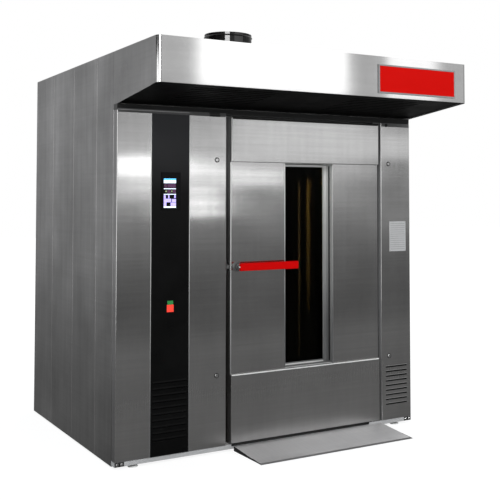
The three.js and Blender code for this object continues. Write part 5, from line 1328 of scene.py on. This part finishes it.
@dataclass
class RightColumn:
    """Right column with its louvres and its bare data plate."""

    fold: float = 0.004
    plate_x: Pair = (0.846, 0.979)
    plate_z: Pair = (1.129, 1.325)
    plate: float = 0.0012
    rules: int = 13
    plug_x: float = 0.823

    def shell(self) -> None:
        """The folded shell with its dark head strip of painted shadow, plug and louvres."""
        steel = Fit(Body.CABINET, Finishes.FRONT, "steel")
        pick = is_front_fold(FACE_Y + 1e-4, self.fold)
        shell = folded_copy("right_column", "right_column_shell", steel, self.fold, pick)
        side_finish(shell, Finishes.RETURN)
        head_shadow_strip("column_head_trim", "right_column", Body.CABINET, 0.022, Finishes.SHADED_RAIL)
        low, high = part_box("right_column")
        plug = [(0.0, 0.0), (0.011, 0.0), (0.0105, -0.0035), (0.0, -0.004)]
        shape = Shape().turned((self.plug_x, FACE_Y - PROUD, high.z - 0.0135), Axis.Y, plug, 20)
        shape.done("column_head_plug", Fits.SEAL_AND_SHADOW)
        field_x = (low.x + 0.032, high.x - 0.032)
        lips = Fit(Body.CABINET, Finishes.LIP, "steel")
        Louvres("column_louvre", lips, field_x, 0.135, 0.030, 0.011, 9, cover=0.9, inner=False).build()

    def data_plate(self) -> None:
        """The bare data plate with its rules and rivets."""
        (x0, x1), (z0, z1), y = self.plate_x, self.plate_z, FACE_Y - self.plate
        label = Fit(Body.CABINET, Finishes.LABEL, "pale_steel")
        bar("data_plate", label, (x0, y, z0), (x1, FACE_Y - PROUD, z1), 0.0005)
        rule = Shape().block((0, -0.0001, 0), (x1 - x0 - 0.016, 0.0002, 0.0022))
        Row((x0 + 0.008, y, z0 + 0.014), (0, 0, (z1 - z0 - 0.03) / (self.rules - 1)), self.rules).lay(
            rule, "data_plate_rules", replace(label, finish=Finishes.LABEL_RULE)
        )
        corners = Row((x0 + 0.005, y, z0 + 0.005), (x1 - x0 - 0.01, 0, 0), 2, (0, 0, z1 - z0 - 0.01), 2)
        corners.lay(pan_head(0.002), "data_plate_rivets", Fits.BOLT)

    def build(self) -> None:
        """Builds the column."""
        self.shell()
        self.data_plate()
        LOG.info("right column done")


# ---------------------------------------------------------------- oven door


@dataclass
class OvenDoor:
    """The swing door: shell, window, seal, pivots, handle and latch."""

    fold: float = 0.0035
    bead: float = 0.009
    clamp: float = 0.024  # width of the bead on the right of the pane
    edge: float = 0.008
    wall: float = 0.0034  # of the window reveal
    recess: float = 0.018  # depth of the middle zone
    recess_z: Pair = (0.437, 1.695)  # lower end of its ledge, and its upper end

    def shell(self) -> None:
        """Folded shell, core, gasket, the rubber lip under the door, a dark strip at its head as painted
        shadow of the hood, and a ledge and edges with painted highlights.
        """
        steel = Fit(Body.DOOR, Finishes.FRONT, "steel")
        folded_copy("door_skin", "door_shell", steel, self.fold, is_front_fold(FACE_Y + 0.0182, self.fold))
        paint(Finishes.LINER, "door_core")
        low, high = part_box("door_core")
        across, rise = (high.x - low.x - 0.09, 0, 0), (0, 0, (high.z - low.z - 0.14) / 9)
        screws = Row((low.x + 0.045, high.y - 0.0006, low.z + 0.07), across, 2, rise, 10)
        lining = Fit(Body.DOOR, Finishes.BOLT, "door_lining")
        screws.lay(pan_head(0.0045, Axis.Y, 1.0), "inner_panel_screws", lining)
        paint(Finishes.RUBBER, "door_gasket")
        head_shadow_strip("door_head_trim", "door_skin", Body.DOOR, 0.012, Finishes.GASKET_AND_SHADE_BLACK)
        low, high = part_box("door_skin")
        y, z = FACE_Y + 0.0038, low.z
        lip = [(y - 0.0004, z), (y - 0.0034, z), (y - 0.0028, z - 0.0155), (y - 0.0012, z - 0.0155)]
        Shape().prism(lip, Axis.X, low.x + 0.004, high.x - 0.085).done("door_sweep", Fits.DOOR_SEAL_AND_SHADOW)
        y, z = FACE_Y - 0.0008, self.recess_z[0]
        ledge = [(y, z), (FACE_Y - PROUD, z), (FACE_Y + 0.003, z + 0.0062), (y, z + 0.0058)]
        Shape().prism(ledge, Axis.X, low.x + 0.006, high.x - 0.006).done("recess_ledge", Fits.DOOR_PAINTED_GLINT)
        z0, z1 = z + 0.01, self.recess_z[1]
        for label, y, ends in (
            ("head", FACE_Y, (z1 + 0.007, high.z - 0.006)),
            ("middle", FACE_Y + self.recess, (z0, z1 - 0.007)),
        ):
            rolled_strip(f"door_edge_{label}", Body.DOOR, low.x + 0.0045, y - PROUD, ends, self.edge)

    def bead_section(self, y: float, depth: float) -> list[Pair]:
        """Section of a glazing bead before a pane at y: place across the pane, and y."""
        y0, y1 = y - 0.0048, y - 0.0136
        return [(0.0, y0), (depth, y0), (depth, y0 - 0.0022), (0.0022, y1), (0.0, y1)]

    def window(self) -> None:
        """Reveal, panes and the bead that clamps the outer one, with a dark strip of painted shadow under the
        head and strips of painted highlight round the pane.
        """
        paint(Finishes.REVEAL, "window_reveal")
        paint(Finishes.GLASS, "outer_glass", "inner_glass")
        low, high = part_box("window_reveal")
        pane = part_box("outer_glass")[0].y
        t = self.wall
        x0, x1, z0, z1 = low.x + t, high.x - t, low.z + t, high.z - t
        shape = Shape()
        for side, x, wide in ((1, x0, self.bead), (-1, x1, self.clamp)):
            shape.prism([(x + side * a, y) for a, y in self.bead_section(pane, wide)], Axis.Z, z0, z1)
        for side, z in ((1, z0), (-1, z1)):
            shape.prism([(y, z + side * a) for a, y in self.bead_section(pane, self.bead)], Axis.X, x0, x1)
        shape.done("glazing_bead", Fit(Body.DOOR, Finishes.REVEAL, "pale_steel"))
        y, edge = pane - 0.0138, x1 - self.clamp
        foot, head = low.z + 0.012, high.z - 0.012
        # painted shadow in the strip under the window head; painted highlights in the sill bead, sill plate,
        # clamp edge and reveal lip
        for name, fit, start, end, bevel in (
            (
                "head_lining", Fits.DOOR_SEAL_AND_SHADOW,
                (x0 + 0.001, FACE_Y + 0.004, z1 - 0.0012), (x1 - 0.001, pane - 0.016, z1 - PROUD), 0.0004,
            ),
            (
                "sill_bead", Fits.DOOR_PAINTED_GLINT,
                (x0 + 0.01, y - 0.0012, z0 + 0.0002), (x1 - 0.025, y, z0 + 0.0085), 0.0006,
            ),
            (
                "sill_plate", Fits.DOOR_PAINTED_GLINT,
                (low.x + 0.004, FACE_Y + 0.019, z0 + PROUD),
                (high.x - 0.004, FACE_Y + 0.036, z0 + 0.0012), 0.0004,
            ),
            (
                "clamp_edge", Fits.DOOR_ROLLED,
                (edge - 0.001, y - 0.0012, low.z + 0.02), (edge + 0.006, y + 0.006, high.z - 0.02), 0.0006,
            ),
            (
                "reveal_seal", Fits.DOOR_SEAL_AND_SHADOW,
                (x1 - 0.0022, FACE_Y + 0.047, foot), (x1 - PROUD, FACE_Y + 0.061, head), 0.0008,
            ),
            (
                "reveal_lip", Fits.DOOR_ROLLED,
                (x1 - 0.0014, FACE_Y + 0.0215, foot), (x1 - PROUD, FACE_Y + 0.041, head), 0.0004,
            ),
        ):
            bar(name, fit, start, end, bevel)
        for label, x, toward in (("right", high.x - 0.0035, -1.0), ("left", low.x + 0.0035, 1.0)):
            Row((x, FACE_Y + 0.042, low.z + 0.09), (0, 0, 0.178), 7).lay(
                pan_head(0.003, Axis.X, toward), f"reveal_screws_{label}", Fits.DOOR_BOLT
            )

    def handle(self) -> None:
        """Grip with its boot, cap and end plug, and the lever, rose, bolt and pivots in dull dark steel,
        which round the pivot is painted shade.
        """
        paint(Finishes.RED_GRIP, "handle_grip")
        paint(Finishes.SPINDLE, "handle_lever", "handle_escutcheon", "latch_bolt", "latch_keeper")
        paint(Finishes.SPINDLE, "hinge_bracket_bottom", "hinge_bracket_top")
        low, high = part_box("handle_lever")
        start = (low.x + 0.0012, low.y - 0.0016, low.z - 0.0012)
        bar("grip_boot", Fits.GRIP, start, (high.x + 0.0008, low.y + 0.014, high.z + 0.0012), 0.0016, 3)
        cap = [(0.0, 0.0), (0.0085, 0.0), (0.0085, -0.003), (0.006, -0.0052), (0.0, -0.006)]
        at = (low.x + 0.0014, low.y + 0.0085, (low.z + high.z) / 2)
        Shape().turned(at, Axis.X, cap).done("handle_cap", Fit(Body.HANDLE, Finishes.EDGE, "pale_steel"))
        low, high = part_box("handle_grip")
        inset = 0.0035
        start = (high.x - 0.0002, low.y + inset, low.z + inset)
        bar("grip_end_plug", Fits.GRIP, start, (high.x + 0.0016, high.y - inset, high.z - inset), 0.0008)

    def build(self) -> None:
        """Builds the door."""
        self.shell()
        self.window()
        self.handle()
        LOG.info("door done")


# ---------------------------------------------------------------- hood


@dataclass
class Hood:
    """Canopy with its hem, suction panel, badge and flue."""

    hem: float = 0.0045
    hem_inset: float = 0.026
    badge_foot: float = 0.032  # from the badge down to the fascia's lower edge
    badge_rim: float = 0.009
    badge_gap: float = 0.0002
    flange_z: float = 2.3033

    def canopy(self) -> None:
        """Finishes of the canopy and its underside, with painted shade on its cheeks and under it, and the
        fascia's hem.
        """
        steel = Fit(Body.CABINET, Finishes.HOOD, "steel")
        side_finish(folded_copy("hood_shell", "hood_canopy", steel), Finishes.SHADED_CHEEK, both=True)
        paint(Finishes.UNDERSIDE, "hood_underside")
        paint(Finishes.CAST, "hood_fan")
        low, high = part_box("hood_shell")
        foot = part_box("badge_plate")[0].z - self.badge_foot
        start = (low.x + self.hem_inset, low.y + 0.0004, foot + 0.0002)
        bar("fascia_hem", Fits.EDGE, start, (high.x - self.hem_inset, low.y + 0.0028, foot + self.hem), 0.001)

    def badge(self) -> None:
        """The bare red badge in its thin frame."""
        paint(Finishes.RED_BADGE, "badge_plate")
        low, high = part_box("badge_plate")
        w, gap = self.badge_rim, self.badge_gap
        left, right, foot, head = low.x - gap, high.x + gap, low.z - gap, high.z + gap
        shape = Shape()
        for (x0, z0), (x1, z1) in (
            ((low.x - w, low.z - w), (high.x + w, foot)),
            ((low.x - w, head), (high.x + w, high.z + w)),
            ((low.x - w, foot), (left, head)),
            ((right, foot), (high.x + w, head)),
        ):
            shape.block((x0, low.y + PROUD, z0), (x1, high.y, z1), 0.0015)
        shape.done("badge_frame", Fit(Body.CABINET, Finishes.RETURN, "pale_steel"))

    def flue(self) -> None:
        """Flue collar and the bolts of its flange."""
        paint(Finishes.FLUE, "flue_spigot")
        low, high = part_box("flue_spigot")
        centre = ((low.x + high.x) / 2, (low.y + high.y) / 2, self.flange_z)
        bolt_ring("flue_flange_bolts", Body.CABINET, centre, 0.1435, 8, 0.0052)

    def build(self) -> None:
        """Builds the hood."""
        self.canopy()
        self.badge()
        self.flue()
        LOG.info("hood done")


# ---------------------------------------------------------------- baking chamber and machinery


@dataclass
class Chamber:
    """Baking chamber, carousel, heat plant and drive."""

    motor_foot: float = 2.162  # top of the fan motor's flange
    gearbox_top: float = 2.238
    turntable_top: float = 0.06
    lip_reach: float = 0.009

    def drive(self) -> None:
        """Bolts of the motors, the gear and the turntable, and the gearmotor's terminal box."""
        low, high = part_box("fan_motor")
        x, y, _ = (low + high) / 2
        bolt_ring("fan_motor_bolts", Body.CABINET, (x, y, self.motor_foot), 0.1, 8, 0.0065)
        low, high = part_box("gearmotor")
        corners = Row((low.x + 0.012, low.y + 0.012, self.gearbox_top), (0.112, 0, 0), 2, (0, 0.168, 0), 2)
        corners.lay(hex_bolt(0.0075), "gearbox_bolts", Fits.BOLT)
        start, end = (high.x - 0.034, 0.198, self.gearbox_top - 0.0005), (high.x - 0.004, 0.256, 2.272)
        bar("gearmotor_terminal_box", Fit(Body.CABINET, Finishes.MOTOR, "motor_blue"), start, end, 0.003)
        low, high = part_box("drive_gear")
        x, y, _ = (low + high) / 2
        bolt_ring("gear_bolts", Body.CAROUSEL, (x, y, high.z), 0.045, 6, 0.007)
        bolt_ring("turntable_bolts", Body.CAROUSEL, (x, y, self.turntable_top), 0.45, 16, 0.006)

    def outlets(self) -> None:
        """Upright lips of the air outlets on the supply duct, with painted warm reflections and a painted
        light line on them.
        """
        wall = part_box("supply_duct")[0].x
        face, edge = wall - 0.0002, wall - self.lip_reach
        # painted reflections: the amber lip and the light grey lip stand for warm glints seen through the
        # window
        for index, (y0, y1, z0, z1, finish) in enumerate(
            (
                (0.417, 0.457, 0.66, 1.62, Finishes.OUTLET),
                (0.596, 0.634, 1.27, 1.58, Finishes.LINER),
                (0.596, 0.634, 0.3, 1.2, Finishes.LINER),
                (0.562, 0.572, 0.3, 1.6, Finishes.LABEL),
                (0.325, 0.35, 1.3, 1.75, Finishes.LINER),
            ),
            1,
        ):
            slope = min(0.004, (y1 - y0) / 4)
            section = [(face, y0), (edge, y0 + slope), (edge, y1 - slope), (face, y1)]
            fit = Fit(Body.CABINET, finish, "steel")
            Shape().prism(section, Axis.Z, z0, z1).done(f"outlet_lip_{index}", fit)

    def build(self) -> None:
        """Finishes of the chamber and its machinery, and their small parts."""
        paint(Finishes.LINER, "chamber_floor", "chamber_liner", "supply_duct", "turntable", "carousel_yoke")
        paint(Finishes.WOOL, "insulation_jacket")
        paint(Finishes.LAMP, "chamber_lamp")
        paint(Finishes.CAST, "drive_gear", "drive_pinion")
        paint(Finishes.MOTOR, "gearmotor", "fan_motor")
        paint(Finishes.LINER, "circulation_fan", "steam_generator")
        paint(Finishes.ELEMENT, "heater_bank")
        self.outlets()
        self.drive()
        LOG.info("chamber done")


# ---------------------------------------------------------------- studio


def panel(name: str, corners: Sequence[Point]) -> tuple[bpy.types.Object, Graph]:
    """A flat four-cornered piece of the studio, with an empty material of its own.

    Args:
        name: its name.
        corners: its four corners.

    Returns:
        The object, and the graph of its material.
    """
    data = bpy.data.meshes.new(name)
    data.from_pydata(corners, [], [(0, 1, 2, 3)])
    item = add(name, data)
    made = bpy.data.materials.new(name)
    made.use_nodes = True
    made.node_tree.nodes.clear()
    data.materials.append(made)
    return item, Graph(made.node_tree)


def mixed(graph: Graph, share: Socket, first: bpy.types.Node, second: bpy.types.Node, out: str) -> None:
    """Mixes two shaders and joins them to an output node of that kind."""
    mix = graph.node("ShaderNodeMixShader")
    graph.link(share, mix.inputs[0])
    graph.link(first.outputs[0], mix.inputs[1])
    graph.link(second.outputs[0], mix.inputs[2])
    graph.link(mix.outputs[0], graph.node(out).inputs["Surface"])


@dataclass(frozen=True)
class Studio:
    """Floor, world, lamps, reflector cards and the camera."""

    camera_at: Point = (-2.7455, -5.3596, 1.4748)
    yaw: float = 0.5565
    pitch: float = 0.0431
    roll: float = -0.0019
    lens: float = 65.615
    sensor: float = 36.0
    clip: Pair = (0.05, 200.0)
    shift: Pair = (-0.1268, -0.1811)
    floor_reach: float = 30.0
    floor_glow: float = 1.13
    sky: float = 0.55
    away: float = 1.77  # how far the band cards stand before the fronts

    def camera(self) -> None:
        """The camera at the photograph's place and angle."""
        data = bpy.data.cameras.new("camera")
        data.lens, data.sensor_width = self.lens, self.sensor
        data.shift_x, data.shift_y = self.shift
        data.clip_start, data.clip_end = self.clip
        item = add("camera", data)
        level = math.cos(self.pitch)
        ahead = Vector((math.sin(self.yaw) * level, math.cos(self.yaw) * level, math.sin(self.pitch)))
        right = ahead.cross(Vector((0, 0, 1))).normalized()
        up = right.cross(ahead)
        side = right * math.cos(self.roll) + up * math.sin(self.roll)
        turn = Matrix((side, side.cross(ahead), -ahead)).transposed()
        item.matrix_world = Matrix.Translation(self.camera_at) @ turn.to_4x4()
        bpy.context.scene.camera = item

    def world(self) -> None:
        """White behind the object, and an even soft light from all round."""
        world = bpy.data.worlds.new("studio")
        world.use_nodes = True
        graph = Graph(world.node_tree)
        graph.tree.nodes.clear()
        rays = graph.node("ShaderNodeLightPath").outputs
        seen = graph.math("MAXIMUM", rays["Is Camera Ray"], rays["Is Glossy Ray"])
        seen = graph.math("MAXIMUM", seen, rays["Is Transmission Ray"])
        white = graph.node("ShaderNodeBackground")
        white.inputs["Color"].default_value = (1, 1, 1, 1)
        soft = graph.node("ShaderNodeBackground")
        soft.inputs["Color"].default_value = (0.9, 0.95, 1.0, 1)
        soft.inputs["Strength"].default_value = self.sky
        mixed(graph, seen, soft, white, "ShaderNodeOutputWorld")
        bpy.context.scene.world = world

    def floor(self) -> None:
        """Pale floor that goes over into the white background and keeps the shadow."""
        r = self.floor_reach
        _, graph = panel("floor", [(-r, -r, 0), (r, -r, 0), (r, r, 0), (-r, r, 0)])
        rays = graph.node("ShaderNodeLightPath").outputs
        diffuse = graph.node("ShaderNodeBsdfDiffuse")
        diffuse.inputs["Color"].default_value = (0.85, 0.85, 0.85, 1)
        glow = graph.node("ShaderNodeEmission")
        glow.inputs["Color"].default_value = (1, 1, 1, 1)
        glow.inputs["Strength"].default_value = self.floor_glow
        seen = graph.math("MAXIMUM", rays["Is Camera Ray"], rays["Is Transmission Ray"])
        distance = graph.node("ShaderNodeVectorMath", operation="LENGTH")
        graph.link(graph.place(), distance.inputs[0])
        far = graph.spread(distance.outputs["Value"], 0.78, 1.0, 1.6, 4.5)
        mixed(graph, graph.math("MULTIPLY", seen, far), diffuse, glow, "ShaderNodeOutputMaterial")

    def card(self, name: str, corners: Sequence[Point], axis: Axis, stops: Sequence[Pair]) -> None:
        """A studio card that only glossy surfaces see.

        Args:
            name: its name.
            corners: its four corners.
            axis: the direction that its brightness changes in.
            stops: places along that direction and the brightness there, 1 for white.
        """
        item, graph = panel(name, corners)
        low, high = stops[0][0], stops[-1][0]
        along = graph.spread(graph.parts(graph.place())[axis.value], 0.0, 1.0, low, high)
        top = max(level for _, level in stops)
        places = [((at - low) / (high - low), grey(level / top)) for at, level in stops]
        glow = graph.node("ShaderNodeEmission")
        graph.link(graph.ramp(along, places), glow.inputs["Color"])
        glow.inputs["Strength"].default_value = top
        graph.link(glow.outputs[0], graph.node("ShaderNodeOutputMaterial").inputs["Surface"])
        for ray in ("camera", "diffuse", "shadow", "transmission"):
            setattr(item, f"visible_{ray}", False)

    def upright(self, name: str, foot: tuple[Pair, Pair], z: Pair, axis: Axis, stops: Sequence[Pair]) -> None:
        """An upright card.

        Args:
            name: its name.
            foot: x and y of its two lower corners.
            z: its lower and upper edge.
            axis: the direction that its brightness changes in.
            stops: places along that direction and the brightness there.
        """
        a, b = foot
        self.card(name, [(*a, z[0]), (*b, z[0]), (*b, z[1]), (*a, z[1])], axis, stops)

    def image(
        self, name: str, x: Pair, z: Pair, axis: Axis, stops: Sequence[Pair], face: float, away: float
    ) -> None:
        """A card whose mirror image, from the camera, lies at a given place on a front face.

        Args:
            name: its name.
            x: the image's left and right end.
            z: the image's lower and upper edge.
            axis: the direction that its brightness changes in, X or Z.
            stops: places of the image along that direction and the brightness there.
            face: y of the mirroring face.
            away: how far the card stands before that face.
        """
        eye = Vector(self.camera_at)
        share = away / (face - eye.y)

        def carried(value: float, along: Axis) -> float:
            """A coordinate of the image, carried to the card."""
            return value + share * (value - eye[along.value])

        y = face - away
        left, right = (carried(v, Axis.X) for v in x)
        rise = [carried(v, Axis.Z) for v in z]
        places = [(carried(at, axis), level) for at, level in stops]
        self.upright(name, ((left, y), (right, y)), rise, axis, places)

    def band(self, name: str, x: Pair, z: Pair, level: float) -> None:
        """A light band on the front, as the image of a soft strip.

        Args:
            name: its name.
            x: the band's left and right end.
            z: its lower and upper edge.
            level: its brightness, 1 for white.
        """
        soft = (z[1] - z[0]) * 0.04
        stops = [(z[0], level * 0.8), (z[0] + soft, level), (z[1] - soft, level), (z[1], level * 0.8)]
        self.image(name, x, z, Axis.Z, stops, FACE_Y, self.away)

    def lamp(self, name: str, at: Point, aim: Point, size: Pair, watts: float) -> None:
        """A soft box.

        Args:
            name: its name.
            at: where it stands.
            aim: the point it looks at.
            size: its width and height.
            watts: its power.
        """
        data = bpy.data.lights.new(name, "AREA")
        data.shape = "RECTANGLE"
        data.size, data.size_y = size
        data.energy = watts
        item = add(name, data)
        turn = (Vector(aim) - Vector(at)).to_track_quat("-Z", "Y").to_matrix().to_4x4()
        item.matrix_world = Matrix.Translation(at) @ turn
        item.visible_glossy = False

    def bulb(self) -> None:
        """Warm light of the chamber lamp."""
        low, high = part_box("chamber_lamp")
        data = bpy.data.lights.new("chamber_bulb", "POINT")
        data.energy = 150.0
        data.color = (1.0, 0.85, 0.6)
        data.shadow_soft_size = 0.03
        item = add("chamber_bulb", data)
        item.location = (high.x + 0.05, high.y + 0.05, (low.z + high.z) / 2)
        for ray in ("camera", "glossy", "transmission"):
            setattr(item, f"visible_{ray}", False)

    def room(self) -> None:
        """Walls and floor of a grey room, for the reflections in the steel."""
        x0, x1, y0, y1, top = -6.0, 9.0, -8.0, 9.0, 6.0
        front = [
            (0.0, 0.122), (0.26, 0.13), (0.61, 0.165), (0.93, 0.22), (1.29, 0.33), (1.4, 0.38), (1.64, 0.55),
            (2.16, 0.67), (2.45, 0.6), (2.65, 0.46), (3.9, 0.5), (top, 0.7),
        ]
        side = [(0.0, 0.32), (1.4, 0.44), (3.0, 0.48), (top, 0.5)]
        for name, foot, stops in (
            ("front_wall", ((x0, y0), (x1, y0)), front),
            ("back_wall", ((x0, y1), (x1, y1)), side),
            ("right_wall", ((x1, y0), (x1, y1)), side),
            ("left_window", ((x0, y0), (x0, -0.6)), [(0.0, 1.6), (top, 2.2)]),
            ("left_wall", ((x0, 0.0), (x0, y1)), side),
        ):
            self.upright(name, foot, (0.0, top), Axis.Z, stops)
        ground = [
            (y0, 0.12), (-5.3, 0.125), (-3.8, 0.19), (-2.6, 0.16), (-1.2, 0.165), (-0.5, 0.15), (0.4, 0.2),
            (y1, 0.3),
        ]
        z = 0.003
        self.card("room_floor", [(x0, y0, z), (x1, y0, z), (x1, y1, z), (x0, y1, z)], Axis.Y, ground)

    def bands(self) -> None:
        """Bright strips that stand in the upper part of the front as light bands."""
        # Each column's left and right end, and its bands: name, lower and upper edge, brightness.
        for x, strips in (
            ((-1.07, -0.70), (("a1", 1.609, 1.712, 2.9),)),
            (
                (-1.03, -0.70),
                (("a2", 1.542, 1.604, 1.15), ("a3", 1.517, 1.540, 1.6), ("a4", 1.462, 1.512, 0.8)),
            ),
            ((-0.69, -0.34), (("b0", 1.810, 1.820, 1.2),)),
            (
                (-0.69, -0.344),
                (
                    ("b1", 1.660, 1.712, 1.1), ("b2", 1.620, 1.656, 2.2), ("b3", 1.537, 1.614, 1.1),
                    ("b4", 1.499, 1.532, 2.2), ("b5", 1.424, 1.482, 2.2), ("b6", 1.38, 1.408, 3.0),
                ),
            ),
            ((-0.32, 0.77), (("c0", 1.707, 1.967, 0.9),)),
            ((-0.32, 0.08), (("c1", 1.612, 1.642, 2.0), ("c2", 1.56, 1.597, 1.8))),
            ((-0.34, 0.08), (("c3", 1.392, 1.552, 0.28),)),
            ((-0.352, -0.22), (("c4", 1.384, 1.556, 0.02),)),
            ((0.40, 0.77), (("d1", 1.652, 1.664, 1.1), ("d2", 1.412, 1.592, 0.4))),
            (
                (0.78, 1.04),
                (("e0", 1.900, 1.960, 0.35), ("e1", 1.762, 1.892, 1.0), ("e2", 1.412, 1.727, 0.15)),
            ),
        ):
            for name, foot, head, level in strips:
                self.band(f"band_{name}", x, (foot, head), level)
        fascia = [
            (-1.2, 0.7), (-0.93, 0.68), (-0.84, 0.75), (-0.8, 1.2), (-0.76, 2.0), (0.1, 2.0), (0.125, 1.6),
            (0.16, 0.86), (0.23, 0.64), (0.33, 0.68), (0.4, 0.78), (0.43, 1.7), (0.735, 1.7), (0.81, 0.64),
            (1.2, 0.6),
        ]
        self.image("fascia_image", (-1.2, 1.2), (2.045, 2.42), Axis.X, fascia, -1.1035, 1.2)
        for name, foot, z, level in (
            ("flue_light", ((-3.3, -5.26), (-2.65, -5.68)), (2.75, 4.6), 22.0),
            ("flue_flag", ((-3.6, -3.6), (-3.6, 2.0)), (2.62, 6.0), 0.03),
        ):
            self.upright(name, foot, z, Axis.Z, [(z[0], level), (z[1], level)])

    def build(self) -> None:
        """Sets up the whole studio."""
        bpy.context.scene.view_settings.view_transform = "Standard"
        self.camera()
        self.world()
        self.floor()
        self.room()
        self.bands()
        self.bulb()
        self.lamp("key", (-3.5, -6.0, 4.6), (0, -0.6, 1.1), (2.6, 1.6), 200)
        self.lamp("fill", (5.0, -4.5, 3.4), (0, -0.4, 1.0), (2.5, 2.0), 110)
        self.lamp("top", (0.0, 0.5, 5.6), (0, 0.2, 1.0), (3.5, 3.0), 120)
        LOG.info("studio ready")


def main() -> None:
    """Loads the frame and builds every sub-assembly."""
    logging.basicConfig(level=logging.INFO, format="%(message)s")
    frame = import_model()
    LOG.info("frame of %d nodes", len(frame["nodes"]))
    Studio().build()
    for part in (Carcass, ServiceColumn, RightColumn, OvenDoor, Hood, Chamber):
        part().build()


if __name__ == "__main__":
    main()
